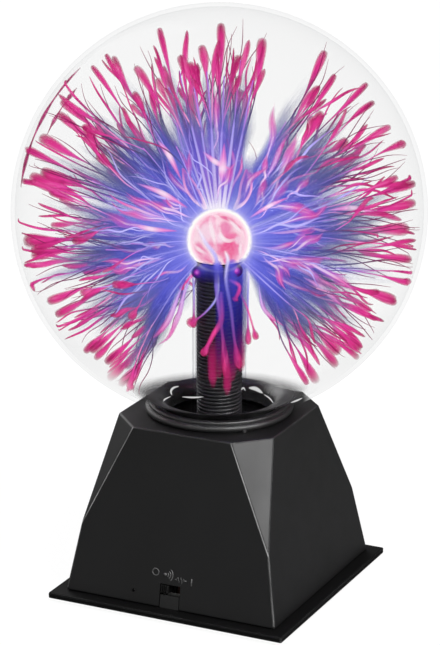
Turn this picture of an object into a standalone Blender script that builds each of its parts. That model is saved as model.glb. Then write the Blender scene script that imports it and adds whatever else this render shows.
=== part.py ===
"""Plasma ball: a glass globe on a faceted desk base, with its high-voltage driver and mode switch inside.

Metres, +Z up. The origin is on the table, under the middle of the base; -Y is the front, where the switch is.
"""

import math

import bmesh
import bpy
from mathutils import Matrix, Vector

MM = 0.001
GAP = 0.3 * MM  # between a piece and the one it rests on

# Driving dimensions
GLOBE_RADIUS = 101.5 * MM
GLASS_WALL = 2.0 * MM
FOOT_HEIGHT = 2.0 * MM  # how far the feet stand out under the plate
PLATE_HALF = 63.7 * MM
PLATE_THICK = 3.2 * MM
BODY_BOTTOM_HALF = 57.1 * MM
BODY_TOP_HALF = 42.3 * MM
BODY_HEIGHT = 86.1 * MM
BODY_WALL = 2.5 * MM
FACET_TOP_CUT = 15.7 * MM  # how much of each top edge a corner facet takes
FACET_LOW = 34.5 * MM  # height of a facet's lowest corner above the plate
BULB_RADIUS = 15.8 * MM
STEM_RADIUS = 13.3 * MM
STEM_WALL = 1.5 * MM
NECK_RADIUS = 28.5 * MM
NECK_FILLET = 4.0 * MM
GLOBE_STEPS = 36  # sides of the globe and of the rings round its neck, so that their facets line up
COLLAR_RADIUS = 37.0 * MM

# Heights worked out from them
PLATE_BOTTOM = FOOT_HEIGHT
PLATE_TOP = PLATE_BOTTOM + PLATE_THICK
BODY_BOTTOM = PLATE_TOP + GAP
BODY_TOP = PLATE_TOP + BODY_HEIGHT
ROOF_UNDER = BODY_TOP - BODY_WALL
GLOBE_Z = BODY_TOP + GLOBE_RADIUS + 0.3 * MM  # the sphere would just touch the roof
NECK_END = BODY_TOP - 25.3 * MM
BULB_Z = GLOBE_Z - 14.6 * MM
SLOPE = math.atan2(BODY_BOTTOM_HALF - BODY_TOP_HALF, BODY_HEIGHT)

# Fixings
FOOT_RADIUS = 5.5 * MM
FOOT_AT = 54.0 * MM
BOSS_RADIUS = 4.0 * MM
BOSS_AT = 47.0 * MM
BOSS_HOLE = 1.8 * MM
SOCKET_BOSS_RADIUS = 3.0 * MM
SOCKET_BOSS_AT = 35.5 * MM
SOCKET_ANGLES = (90, 210, 330)
SOCKET_FLANGE_TOP = ROOF_UNDER - 3.7 * MM
SOCKET_FLANGE_THICK = 3.1 * MM
STANDOFF_RADIUS = 3.0 * MM
STANDOFF_AT = (36.0 * MM, 26.0 * MM)
STANDOFF_TOP = PLATE_TOP + 6.7 * MM
BOARD_HALF = (41.0 * MM, 31.0 * MM)
BOARD_THICK = 1.6 * MM
BOARD_TOP = STANDOFF_TOP + GAP + BOARD_THICK
ON_BOARD = BOARD_TOP + GAP

# Controls and sockets in the walls
SWITCH_Z = 14.85 * MM
SLOT_HALF = (5.5 * MM, 2.65 * MM)
TAB_HALF_WIDTH = 5.1 * MM
KNOB_REST_X = -3.0 * MM  # the knob rests at the left end of its travel
KNOB_HALF = (2.1 * MM, 2.05 * MM)
POST_AT = 10.8 * MM
POST_LENGTH = 2.5 * MM
FRAME_FACE = -(BODY_WALL + POST_LENGTH + GAP)
FRAME_THICK = 0.5 * MM
MIC_AT = (-19.9 * MM, 11.5 * MM)
MIC_RADIUS = 3.0 * MM
JACK_Z = 18.0 * MM
JACK_RADIUS = 3.9 * MM

# The column inside the stem
FORMER_RADIUS = 8.5 * MM
FORMER_BORE = 6.5 * MM
COIL_RADIUS = 10.55 * MM
COIL_WIRE = 0.85 * MM
COIL_PITCH = 1.9 * MM
COIL_TURNS = 44
PLUG_TOP = NECK_END + 12.0 * MM

# Driver parts on the board
TRANSFORMER_AT = (16.0 * MM, 8.0 * MM)
SINK_X = -24.0 * MM
SINK_Y = (-8.0 * MM, 20.0 * MM)
SINK_HEIGHT = 28.0 * MM

PARTS = "plasma_ball"
CUTTERS = "cutters"


# ---------------------------------------------------------------- scene, materials and placing


def clear_scene():
    for obj in list(bpy.data.objects):
        bpy.data.objects.remove(obj)
    for name in (PARTS, CUTTERS):
        bpy.context.scene.collection.children.link(bpy.data.collections.new(name))


def make_material(name, colour, roughness, metallic=0.0, alpha=1.0, glow=None):
    material = bpy.data.materials.new(name)
    material.use_nodes = True
    shader = material.node_tree.nodes["Principled BSDF"]
    shader.inputs["Base Color"].default_value = (*colour, 1.0)
    shader.inputs["Roughness"].default_value = roughness
    shader.inputs["Metallic"].default_value = metallic
    shader.inputs["Alpha"].default_value = alpha
    if glow:
        shader.inputs["Emission Color"].default_value = (*glow, 1.0)
        shader.inputs["Emission Strength"].default_value = 2.0
    return material


def make_materials():
    return {
        "black_abs": make_material("black_abs", (0.018, 0.018, 0.019), 0.42),
        "gloss_black": make_material("gloss_black", (0.012, 0.012, 0.013), 0.22),
        "rubber": make_material("rubber", (0.02, 0.02, 0.02), 0.8),
        "clear_glass": make_material("clear_glass", (0.96, 0.97, 0.97), 0.02, alpha=0.2),
        "stem_glass": make_material("stem_glass", (0.9, 0.93, 0.95), 0.03, alpha=0.35),
        "glowing_wool": make_material("glowing_wool", (0.95, 0.55, 0.7), 0.5, glow=(1.0, 0.45, 0.65)),
        "coil_steel": make_material("coil_steel", (0.03, 0.03, 0.032), 0.35, metallic=0.8),
        "zinc_steel": make_material("zinc_steel", (0.62, 0.62, 0.6), 0.3, metallic=1.0),
        "brass": make_material("brass", (0.75, 0.56, 0.25), 0.3, metallic=1.0),
        "aluminium": make_material("aluminium", (0.75, 0.76, 0.77), 0.35, metallic=1.0),
        "ferrite": make_material("ferrite", (0.05, 0.05, 0.055), 0.55),
        "copper_wire": make_material("copper_wire", (0.66, 0.3, 0.12), 0.35, metallic=1.0),
        "tape": make_material("tape", (0.85, 0.62, 0.08), 0.45),
        "board": make_material("board", (0.04, 0.2, 0.09), 0.5),
        "bakelite": make_material("bakelite", (0.16, 0.07, 0.03), 0.5),
        "epoxy": make_material("epoxy", (0.02, 0.02, 0.022), 0.5),
        "film_case": make_material("film_case", (0.5, 0.05, 0.03), 0.4),
        "can_sleeve": make_material("can_sleeve", (0.03, 0.06, 0.18), 0.35),
        "red_wire": make_material("red_wire", (0.6, 0.03, 0.02), 0.45),
        "black_wire": make_material("black_wire", (0.02, 0.02, 0.02), 0.45),
        "white_wire": make_material("white_wire", (0.8, 0.8, 0.78), 0.45),
    }


def wall_frame(side, x, z):
    """A frame on the outer face of the front (-1) or back (+1) wall: X sideways, Y up the slope, Z outwards."""
    half = BODY_BOTTOM_HALF - (z - PLATE_TOP) * math.tan(SLOPE)
    outward = Vector((0, side * math.cos(SLOPE), math.sin(SLOPE)))
    upward = Vector((0, -side * math.sin(SLOPE), math.cos(SLOPE)))
    sideways = upward.cross(outward)
    frame = Matrix((sideways, upward, outward)).transposed().to_4x4()
    frame.translation = Vector((x, side * half, z))
    return frame


def at(x, y, z):
    return Matrix.Translation((x, y, z))


def corners(x, y):
    return [(sx * x, sy * y) for sy in (-1, 1) for sx in (-1, 1)]


def around(radius, degrees):
    return radius * math.cos(math.radians(degrees)), radius * math.sin(math.radians(degrees))


# ---------------------------------------------------------------- shapes


def add_box(bm, low, high, frame=None):
    """A box between two corners of the given frame."""
    low, high = Vector(low), Vector(high)
    scale = Matrix.Diagonal((*(high - low), 1.0))
    bmesh.ops.create_cube(bm, size=1.0, matrix=(frame or Matrix()) @ Matrix.Translation((low + high) / 2) @ scale)


def add_cylinder(bm, radius, bottom, top, frame=None, segments=20, top_radius=None):
    """A cylinder or cone on the frame's Z axis."""
    bmesh.ops.create_cone(
        bm,
        cap_ends=True,
        segments=segments,
        radius1=radius,
        radius2=radius if top_radius is None else top_radius,
        depth=top - bottom,
        matrix=(frame or Matrix()) @ at(0, 0, (bottom + top) / 2),
    )


def link(obj, collection):
    bpy.data.collections[collection].objects.link(obj)
    return obj


def solid(name, bm, material, place=None):
    """The piece built in bm, moved by its own matrix."""
    bmesh.ops.recalc_face_normals(bm, faces=bm.faces)
    mesh = bpy.data.meshes.new(name)
    bm.to_mesh(mesh)
    bm.free()
    obj = link(bpy.data.objects.new(name, mesh), PARTS)
    obj.matrix_world = place or Matrix()
    obj.data.materials.append(material)
    return obj


def helper(name, bm):
    """A shape that only cuts or is joined to a piece."""
    bmesh.ops.recalc_face_normals(bm, faces=bm.faces)
    mesh = bpy.data.meshes.new(name)
    bm.to_mesh(mesh)
    bm.free()
    obj = link(bpy.data.objects.new(name, mesh), CUTTERS)
    obj.hide_render = True
    obj.display_type = "WIRE"
    return obj


def boolean(obj, other, operation):
    modifier = obj.modifiers.new(operation.lower() + "_" + other.name, "BOOLEAN")
    modifier.operation = operation
    modifier.object = other
    modifier.solver = "EXACT"


def round_edges(obj, width, segments=1, degrees=30):
    modifier = obj.modifiers.new("rounded_edges", "BEVEL")
    modifier.width = width
    modifier.segments = segments
    modifier.limit_method = "ANGLE"
    modifier.angle_limit = math.radians(degrees)


def round_shading(obj):
    obj.data.shade_smooth()
    obj.data.set_sharp_from_angle(angle=math.radians(35))


def turned(name, profile, material, steps=40, place=None, closed=True):
    """A closed (r, z) profile turned about Z, or an open one whose ends are on the axis."""
    bm = bmesh.new()
    points = [bm.verts.new((r, 0, z)) for r, z in profile]
    for first, second in zip(points, points[1:]):
        bm.edges.new((first, second))
    if closed:
        bm.edges.new((points[-1], points[0]))
    outline = helper(name + "_outline", bm)
    screw = outline.modifiers.new("turn", "SCREW")
    screw.steps = screw.render_steps = steps
    screw.use_merge_vertices = True
    screw.merge_threshold = 0.00001
    bpy.context.view_layer.update()
    evaluated = outline.evaluated_get(bpy.context.evaluated_depsgraph_get())
    shape = bmesh.new()
    shape.from_mesh(evaluated.to_mesh())
    evaluated.to_mesh_clear()
    bpy.data.objects.remove(outline)
    bmesh.ops.remove_doubles(shape, verts=shape.verts, dist=0.00001)
    piece = solid(name, shape, material, place)
    round_shading(piece)
    return piece


def arc(centre, radius, start, end, count):
    """Points of an arc in the (r, z) plane, in degrees, both ends included."""
    turn = [math.radians(start + (end - start) * i / (count - 1)) for i in range(count)]
    return [(centre[0] + radius * math.cos(a), centre[1] + radius * math.sin(a)) for a in turn]


def smooth_path(points, per_span=5):
    """Points along a Catmull-Rom curve through the given ones."""
    points = [Vector(p) for p in points]
    held = [points[0], *points, points[-1]]
    path = []
    for a, b, c, d in zip(held, held[1:], held[2:], held[3:]):
        for i in range(per_span):
            t = i / per_span
            path.append(
                0.5 * (2 * b + (c - a) * t + (2 * a - 5 * b + 4 * c - d) * t**2 + (3 * b - a - 3 * c + d) * t**3)
            )
    return [*path, points[-1]]


def wire(name, path, radius, material, sides=1):
    """A round wire along a path, with closed ends."""
    curve = bpy.data.curves.new(name, "CURVE")
    curve.dimensions = "3D"
    curve.bevel_depth = radius
    curve.bevel_resolution = sides
    curve.use_fill_caps = True
    spline = curve.splines.new("POLY")
    spline.points.add(len(path) - 1)
    for point, place in zip(spline.points, path):
        point.co = (*place, 1.0)
    obj = link(bpy.data.objects.new(name, curve), PARTS)
    obj.data.materials.append(material)
    return obj


def screw(name, place, head_radius, head_height, shank_radius, length, material):
    """A pan-head screw with a cross recess. The head's seat is at the frame's origin and the shank runs down -Z."""
    profile = [
        (0, head_height),
        (0.6 * head_radius, head_height),
        (head_radius, 0.45 * head_height),
        (head_radius, 0),
        (shank_radius, 0),
        (shank_radius, -length + shank_radius),
        (0, -length),
    ]
    piece = turned(name, profile, material, steps=10, place=place, closed=False)
    recess = bmesh.new()
    arm, slot = 0.55 * head_radius, 0.16 * head_radius
    add_box(recess, (-arm, -slot, 0.4 * head_height), (arm, slot, 1.2 * head_height), place)
    cross = bmesh.new()
    add_box(cross, (-slot, -arm, 0.4 * head_height), (slot, arm, 1.2 * head_height), place)
    boolean(piece, helper(name + "_slot_x", recess), "DIFFERENCE")
    boolean(piece, helper(name + "_slot_y", cross), "DIFFERENCE")
    return piece


# ---------------------------------------------------------------- the base


def facet_planes(inset):
    """Point and outward normal of the plane of each corner facet, moved inwards by inset."""
    reach = BODY_TOP_HALF - FACET_TOP_CUT
    low_half = BODY_BOTTOM_HALF - FACET_LOW * math.tan(SLOPE)
    for sx, sy in corners(1, 1):
        low = Vector((sx * low_half, sy * low_half, PLATE_TOP + FACET_LOW))
        on_x = Vector((sx * BODY_TOP_HALF, sy * reach, BODY_TOP))
        on_y = Vector((sx * reach, sy * BODY_TOP_HALF, BODY_TOP))
        normal = (on_x - low).cross(on_y - low).normalized()
        if normal.dot(Vector((sx, sy, 0))) < 0:
            normal.negate()
        yield low - normal * inset, normal


def faceted_body(bottom, top, inset):
    """The base's pyramid between two heights, with its corners cut off; inset moves every side inwards."""
    bm = bmesh.new()
    bmesh.ops.create_cube(bm, size=2.0)
    for vert in bm.verts:
        z = top if vert.co.z > 0 else bottom
        half = BODY_BOTTOM_HALF - (z - PLATE_TOP) * math.tan(SLOPE) - inset
        vert.co = Vector((math.copysign(half, vert.co.x), math.copysign(half, vert.co.y), z))
    for point, normal in facet_planes(inset):
        geometry = bm.verts[:] + bm.edges[:] + bm.faces[:]
        cut = bmesh.ops.bisect_plane(bm, geom=geometry, plane_co=point, plane_no=normal, clear_outer=True)
        rim = [item for item in cut["geom_cut"] if isinstance(item, bmesh.types.BMEdge)]
        bmesh.ops.contextual_create(bm, geom=rim)
    return bm


def make_housing(material):
    housing = solid("housing", faceted_body(BODY_BOTTOM, BODY_TOP, 0), material)
    round_edges(housing, 0.7 * MM, segments=2, degrees=12)
    front = wall_frame(-1, 0, SWITCH_Z)
    back = wall_frame(1, 0, JACK_Z)
    mic = wall_frame(-1, *MIC_AT)

    boolean(housing, helper("housing_hollow", faceted_body(0, ROOF_UNDER, BODY_WALL)), "DIFFERENCE")

    added = bmesh.new()
    for x, y in corners(BOSS_AT, BOSS_AT):
        add_cylinder(added, BOSS_RADIUS, BODY_BOTTOM + GAP, PLATE_TOP + 31 * MM, at(x, y, 0), segments=12)
    for degrees in SOCKET_ANGLES:
        x, y = around(SOCKET_BOSS_AT, degrees)
        add_cylinder(added, SOCKET_BOSS_RADIUS, SOCKET_FLANGE_TOP + GAP, ROOF_UNDER + 1 * MM, at(x, y, 0), segments=12)
    for x in (-POST_AT, POST_AT):
        post = front @ at(x, 0, 0)
        add_cylinder(added, 2.2 * MM, FRAME_FACE + GAP, -0.8 * BODY_WALL, post, segments=12)
    add_cylinder(added, MIC_RADIUS + 0.9 * MM, -6.0 * MM, -0.8 * BODY_WALL, mic, segments=16)
    boolean(housing, helper("housing_bosses", added), "UNION")

    cut = bmesh.new()
    add_cylinder(cut, NECK_RADIUS + 2.5 * MM, ROOF_UNDER - 1 * MM, BODY_TOP + 1 * MM, segments=GLOBE_STEPS)
    for x, y in corners(BOSS_AT, BOSS_AT):
        add_cylinder(cut, BOSS_HOLE, 0, PLATE_TOP + 14 * MM, at(x, y, 0), segments=12)
    for degrees in SOCKET_ANGLES:
        x, y = around(SOCKET_BOSS_AT, degrees)
        add_cylinder(cut, 1.5 * MM, SOCKET_FLANGE_TOP, ROOF_UNDER + 0.5 * MM, at(x, y, 0), segments=12)
    for x in (-POST_AT, POST_AT):
        add_cylinder(cut, 1.0 * MM, FRAME_FACE - 1 * MM, -1.2 * MM, front @ at(x, 0, 0), segments=12)
    add_box(cut, (-SLOT_HALF[0], -15 * MM, -4 * MM), (SLOT_HALF[0], SLOT_HALF[1], 2 * MM), front)
    add_cylinder(cut, MIC_RADIUS + GAP, -7 * MM, -BODY_WALL, mic, segments=16)
    add_cylinder(cut, JACK_RADIUS + GAP, -5 * MM, 5 * MM, back, segments=16)
    boolean(housing, helper("housing_holes", cut), "DIFFERENCE")

    sound_hole = bmesh.new()
    add_cylinder(sound_hole, 0.9 * MM, -4 * MM, 2 * MM, mic, segments=12)
    boolean(housing, helper("sound_hole", sound_hole), "DIFFERENCE")
    return housing


def make_base_plate(material):
    bm = bmesh.new()
    add_box(bm, (-PLATE_HALF, -PLATE_HALF, PLATE_BOTTOM), (PLATE_HALF, PLATE_HALF, PLATE_TOP))
    plate = solid("base_plate", bm, material)
    round_edges(plate, 0.8 * MM, segments=2)

    # A low rib just inside the housing's walls centres it on the plate.
    rib_half, rib_thick, rib_top = 53.6 * MM, 1.5 * MM, PLATE_TOP + 1.0 * MM
    rib = bmesh.new()
    add_box(rib, (-rib_half, -rib_half, PLATE_TOP - 1 * MM), (rib_half, rib_half, rib_top))
    rib = helper("plate_rib", rib)
    inside = rib_half - rib_thick
    hollow = bmesh.new()
    add_box(hollow, (-inside, -inside, 0), (inside, inside, rib_top + 1 * MM))
    boolean(rib, helper("plate_rib_inside", hollow), "DIFFERENCE")
    boolean(plate, rib, "UNION")

    # A tab closes the lower part of the housing's switch notch and leaves the slot above it.
    front = wall_frame(-1, 0, SWITCH_Z)
    added = bmesh.new()
    add_box(added, (-TAB_HALF_WIDTH, -11 * MM, -2.4 * MM), (TAB_HALF_WIDTH, -SLOT_HALF[1] - GAP, -0.25 * MM), front)
    for x, y in corners(*STANDOFF_AT):
        add_cylinder(added, STANDOFF_RADIUS, PLATE_TOP - 1 * MM, STANDOFF_TOP, at(x, y, 0), segments=12)
    boolean(plate, helper("plate_tab_and_standoffs", added), "UNION")

    cut = bmesh.new()
    for x, y in corners(BOSS_AT, BOSS_AT):
        add_cylinder(cut, 3.4 * MM, 0, PLATE_BOTTOM + 1.8 * MM, at(x, y, 0), segments=16)
    for x, y in corners(FOOT_AT, FOOT_AT):
        add_cylinder(cut, FOOT_RADIUS + GAP, 0, PLATE_BOTTOM + 1 * MM, at(x, y, 0), segments=16)
    for x, y in corners(*STANDOFF_AT):
        add_cylinder(cut, 1.5 * MM, PLATE_TOP + 1.3 * MM, STANDOFF_TOP + 1 * MM, at(x, y, 0), segments=12)
    boolean(plate, helper("plate_recesses", cut), "DIFFERENCE")
    through = bmesh.new()
    for x, y in corners(BOSS_AT, BOSS_AT):
        add_cylinder(through, 1.9 * MM, 0, PLATE_TOP + 1 * MM, at(x, y, 0), segments=12)
    boolean(plate, helper("plate_screw_holes", through), "DIFFERENCE")
    return plate


def make_feet(material):
    top = PLATE_BOTTOM + 1 * MM - GAP
    profile = [(0, top), (FOOT_RADIUS, top), (FOOT_RADIUS, 0.5 * MM), (FOOT_RADIUS - 0.5 * MM, 0), (0, 0)]
    names = ("front_left", "front_right", "rear_left", "rear_right")
    for name, (x, y) in zip(names, corners(FOOT_AT, FOOT_AT)):
        turned("foot_" + name, profile, material, steps=16, place=at(x, y, 0), closed=False)


def make_base_screws(material):
    flip = Matrix.Rotation(math.pi, 4, "X")
    for number, (x, y) in enumerate(corners(BOSS_AT, BOSS_AT), 1):
        place = at(x, y, PLATE_BOTTOM + 1.5 * MM) @ flip
        screw(f"base_screw_{number}", place, 3.0 * MM, 1.3 * MM, 1.5 * MM, 14 * MM, material)


# ---------------------------------------------------------------- the globe and what holds it


def sphere_fillet(centre_z, radius, inner_radius, fillet):
    """Centre of the fillet circle between a sphere and a coaxial neck, in the (r, z) plane."""
    r = inner_radius + fillet
    return r, centre_z - math.sqrt((radius + fillet) ** 2 - r**2)


def make_globe(material):
    fillet = sphere_fillet(GLOBE_Z, GLOBE_RADIUS, NECK_RADIUS, NECK_FILLET)
    lean = math.degrees(math.atan2(fillet[1] - GLOBE_Z, fillet[0]))  # the sphere ends where the fillet meets it
    outside = arc((0, GLOBE_Z), GLOBE_RADIUS, 90, 0, 9) + arc((0, GLOBE_Z), GLOBE_RADIUS, 0, lean, 7)[1:]
    outside += arc(fillet, NECK_FILLET, 180 + lean, 180, 4)[1:]
    outside.append((NECK_RADIUS, NECK_END))
    inner_radius = GLOBE_RADIUS - GLASS_WALL
    inside = [(NECK_RADIUS - GLASS_WALL, NECK_END)]
    inside += arc(fillet, NECK_FILLET + GLASS_WALL, 180, 180 + lean, 4)
    inside += arc((0, GLOBE_Z), inner_radius, lean, 0, 7)[1:] + arc((0, GLOBE_Z), inner_radius, 0, 90, 9)[1:]
    turned("globe_glass", outside + inside, material, steps=GLOBE_STEPS, closed=False)


def make_stem(material):
    """The inner glass: a flare fused to the neck's end, a tube, and the electrode bulb on top."""
    flare_centre = (22.0 * MM, NECK_END + 8.6 * MM)
    outer_bend = flare_centre[0] - STEM_RADIUS
    inner_bend = outer_bend + STEM_WALL
    top_of_rim = NECK_END - GAP
    outer_join = math.degrees(math.asin(STEM_RADIUS / BULB_RADIUS)) - 90
    inner_join = math.degrees(math.asin((STEM_RADIUS - STEM_WALL) / (BULB_RADIUS - STEM_WALL))) - 90
    outside = arc((0, BULB_Z), BULB_RADIUS, 90, outer_join, 8)
    outside += arc(flare_centre, outer_bend, 180, 270, 5)
    outside += [(NECK_RADIUS, top_of_rim), (NECK_RADIUS, top_of_rim - GLASS_WALL)]
    inside = arc(flare_centre, inner_bend, 270, 180, 5)
    inside += arc((0, BULB_Z), BULB_RADIUS - STEM_WALL, inner_join, 90, 8)
    turned("electrode_stem", outside + inside, material, steps=24, closed=False)


def make_collar(material):
    """The moulded ring that the globe sits in: a spigot through the roof, a seat for the glass and a bead outside."""
    clearance = 0.4 * MM
    fillet = sphere_fillet(GLOBE_Z, GLOBE_RADIUS, NECK_RADIUS, NECK_FILLET)
    lean = math.degrees(math.atan2(fillet[1] - GLOBE_Z, fillet[0]))
    inner = NECK_RADIUS + clearance
    spigot = NECK_RADIUS + 2.2 * MM
    bottom = BODY_TOP + GAP
    lip = 34.0 * MM
    lip_lean = -math.degrees(math.acos(lip / GLOBE_RADIUS))
    seat = arc(fillet, NECK_FILLET - clearance, 180, 180 + lean, 5)
    seat += arc((0, GLOBE_Z), GLOBE_RADIUS + clearance, lean, lip_lean, 3)[1:]
    groove = [(35.0 * MM, BODY_TOP + 4.3 * MM)]
    bead = arc((COLLAR_RADIUS - 1.6 * MM, BODY_TOP + 3.3 * MM), 1.6 * MM, 80, 0, 4)
    foot = [(COLLAR_RADIUS, BODY_TOP + 1.1 * MM), (COLLAR_RADIUS - 0.8 * MM, bottom), (spigot, bottom)]
    spigot_end = [(spigot, BODY_TOP - 4.3 * MM), (inner, BODY_TOP - 4.3 * MM)]
    collar = turned("collar_ring", seat + groove + bead + foot + spigot_end, material, steps=GLOBE_STEPS)
    key = bmesh.new()
    x, y = around(COLLAR_RADIUS - 0.3 * MM, -45)
    add_cylinder(key, 1.5 * MM, bottom, BODY_TOP + 1.6 * MM, at(x, y, 0), segments=12)
    boolean(collar, helper("collar_key", key), "UNION")


def make_neck_socket(material):
    """The cup that holds the glass neck, hung under the roof by its flange."""
    inner = NECK_RADIUS + 0.4 * MM
    outer = inner + 2.0 * MM
    flange = 39.0 * MM
    flange_low = SOCKET_FLANGE_TOP - SOCKET_FLANGE_THICK
    floor_top = NECK_END - 5.5 * MM
    floor = floor_top - 2.5 * MM
    mouth = 12.0 * MM
    profile = [
        (inner, SOCKET_FLANGE_TOP),
        (flange, SOCKET_FLANGE_TOP),
        (flange, flange_low),
        (outer, flange_low),
        (outer, floor),
        (mouth, floor),
        (mouth, floor_top),
        (inner, floor_top),
    ]
    socket = turned("neck_socket", profile, material, steps=GLOBE_STEPS)
    holes = bmesh.new()
    for degrees in SOCKET_ANGLES:
        x, y = around(SOCKET_BOSS_AT, degrees)
        add_cylinder(holes, 1.6 * MM, flange_low - 1 * MM, SOCKET_FLANGE_TOP + 1 * MM, at(x, y, 0), segments=12)
    boolean(socket, helper("neck_socket_holes", holes), "DIFFERENCE")
    return floor_top


def make_socket_screws(material):
    seat = SOCKET_FLANGE_TOP - SOCKET_FLANGE_THICK - GAP
    for number, degrees in enumerate(SOCKET_ANGLES, 1):
        place = at(*around(SOCKET_BOSS_AT, degrees), seat) @ Matrix.Rotation(math.pi, 4, "X")
        screw(f"socket_screw_{number}", place, 2.6 * MM, 1.7 * MM, 1.2 * MM, 6.5 * MM, material)


def make_neck_cushion(material, floor_top):
    low, high = floor_top + GAP, NECK_END - GAP - GLASS_WALL - GAP
    profile = [(16 * MM, high), (28.4 * MM, high), (28.4 * MM, low), (16 * MM, low)]
    turned("neck_cushion", profile, material, steps=24)


# ---------------------------------------------------------------- the electrode column


def make_stem_plug(material, floor_top):
    hole, body, flange = 2.0 * MM, 11.3 * MM, 14.5 * MM
    low, shoulder = floor_top + GAP, NECK_END - 2.7 * MM
    profile = [(hole, PLUG_TOP), (body, PLUG_TOP), (body, shoulder), (flange, shoulder), (flange, low), (hole, low)]
    turned("stem_plug", profile, material, steps=20)


def make_column(materials):
    low, high = PLUG_TOP + GAP, BULB_Z - 13.5 * MM
    profile = [(FORMER_BORE, high), (FORMER_RADIUS, high), (FORMER_RADIUS, low), (FORMER_BORE, low)]
    turned("coil_former", profile, materials["black_abs"], steps=20)

    start = low + COIL_WIRE
    per_turn = 8
    helix = []
    for i in range(COIL_TURNS * per_turn + 1):
        x, y = around(COIL_RADIUS, 360 * i / per_turn)
        helix.append((x, y, start + COIL_PITCH * i / per_turn))
    wire("electrode_coil", helix, COIL_WIRE, materials["coil_steel"], sides=0)

    wool = bmesh.new()
    bmesh.ops.create_icosphere(wool, subdivisions=3, radius=12.6 * MM, matrix=at(0, 0, BULB_Z))
    for vert in wool.verts:
        way = (vert.co - Vector((0, 0, BULB_Z))).normalized()
        tuft = math.sin(9 * way.x + 2) * math.sin(8 * way.y) * math.sin(10 * way.z + 1)
        vert.co -= way * 0.5 * MM * (1 + tuft)
    round_shading(solid("contact_wool", wool, materials["glowing_wool"]))

    x, y = TRANSFORMER_AT
    leaves_winding = [(x, y - 11.7 * MM, ON_BOARD + 14 * MM), (x - 1.5 * MM, y - 16 * MM, ON_BOARD + 18 * MM)]
    rises = [(x - 6 * MM, y - 17 * MM, ON_BOARD + 29 * MM), (0, 0, NECK_END - 13 * MM)]
    path = smooth_path([*leaves_winding, *rises, (0, 0, NECK_END), (0, 0, high + 0.3 * MM)])
    wire("hv_lead", path, 1.2 * MM, materials["white_wire"])


# ---------------------------------------------------------------- the driver board


def make_board(materials):
    bm = bmesh.new()
    half_x, half_y = BOARD_HALF
    add_box(bm, (-half_x, -half_y, BOARD_TOP - BOARD_THICK), (half_x, half_y, BOARD_TOP))
    board = solid("circuit_board", bm, materials["board"])
    holes = bmesh.new()
    for x, y in corners(*STANDOFF_AT):
        add_cylinder(holes, 1.6 * MM, BOARD_TOP - 4 * MM, BOARD_TOP + 2 * MM, at(x, y, 0), segments=12)
    boolean(board, helper("board_holes", holes), "DIFFERENCE")
    for number, (x, y) in enumerate(corners(*STANDOFF_AT), 1):
        place = at(x, y, ON_BOARD)
        screw(f"board_screw_{number}", place, 2.6 * MM, 1.7 * MM, 1.2 * MM, 7 * MM, materials["zinc_steel"])


def rectangular_ring(name, inner, outer, low, high, place, material, corner=0.0):
    """A box with a box hole through it, such as a winding round a core."""
    bm = bmesh.new()
    add_box(bm, (-outer[0], -outer[1], low), (outer[0], outer[1], high))
    if corner:
        upright = [e for e in bm.edges if abs(e.verts[0].co.z - e.verts[1].co.z) > corner]
        bmesh.ops.bevel(bm, geom=upright, offset=corner, segments=3, affect="EDGES", profile=0.5)
    ring = solid(name, bm, material, place)
    hole = bmesh.new()
    add_box(hole, (-inner[0], -inner[1], low - 1 * MM), (inner[0], inner[1], high + 1 * MM), place)
    boolean(ring, helper(name + "_hole", hole), "DIFFERENCE")
    return ring


def make_transformer(materials):
    """A high-voltage transformer: an E core, a bobbin on its middle leg, and two windings."""
    place = at(*TRANSFORMER_AT, ON_BOARD)
    side, depth, yoke = 13.0 * MM, 4.0 * MM, 4.5 * MM
    leg, window, height = 3.5 * MM, 9.5 * MM, 26.0 * MM
    bm = bmesh.new()
    add_box(bm, (-side, -depth, 0), (side, depth, height))
    core = solid("transformer_core", bm, materials["ferrite"], place)
    windows = bmesh.new()
    for low, high in ((-window, -leg), (leg, window)):
        add_box(windows, (low, -2 * depth, yoke), (high, 2 * depth, height - yoke), place)
    boolean(core, helper("core_windows", windows), "DIFFERENCE")

    low, high = yoke + GAP, height - yoke - GAP
    tube_in = (leg + GAP, depth + GAP)
    tube_out = (tube_in[0] + 1 * MM, tube_in[1] + 1 * MM)
    flange = (9.1 * MM, 11.0 * MM)
    bobbin = rectangular_ring("transformer_bobbin", tube_in, flange, low, high, place, materials["bakelite"])
    waist = bmesh.new()
    add_box(waist, (-2 * flange[0], -2 * flange[1], low + 1 * MM), (2 * flange[0], 2 * flange[1], high - 1 * MM), place)
    waist = helper("bobbin_waist", waist)
    keep = bmesh.new()
    add_box(keep, (-tube_out[0], -tube_out[1], 0), (tube_out[0], tube_out[1], height), place)
    boolean(waist, helper("bobbin_tube", keep), "DIFFERENCE")
    boolean(bobbin, waist, "DIFFERENCE")

    wound = (tube_out[0] + GAP, tube_out[1] + GAP)
    split = low + 5 * MM
    rectangular_ring(
        "primary_winding", wound, (7.9 * MM, 8.9 * MM), low + 1.3 * MM, split, place, materials["copper_wire"], 2 * MM
    )
    rectangular_ring(
        "secondary_winding", wound, (8.9 * MM, 10.2 * MM), split + GAP, high - 1.3 * MM, place, materials["tape"], 2.5 * MM
    )


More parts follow.
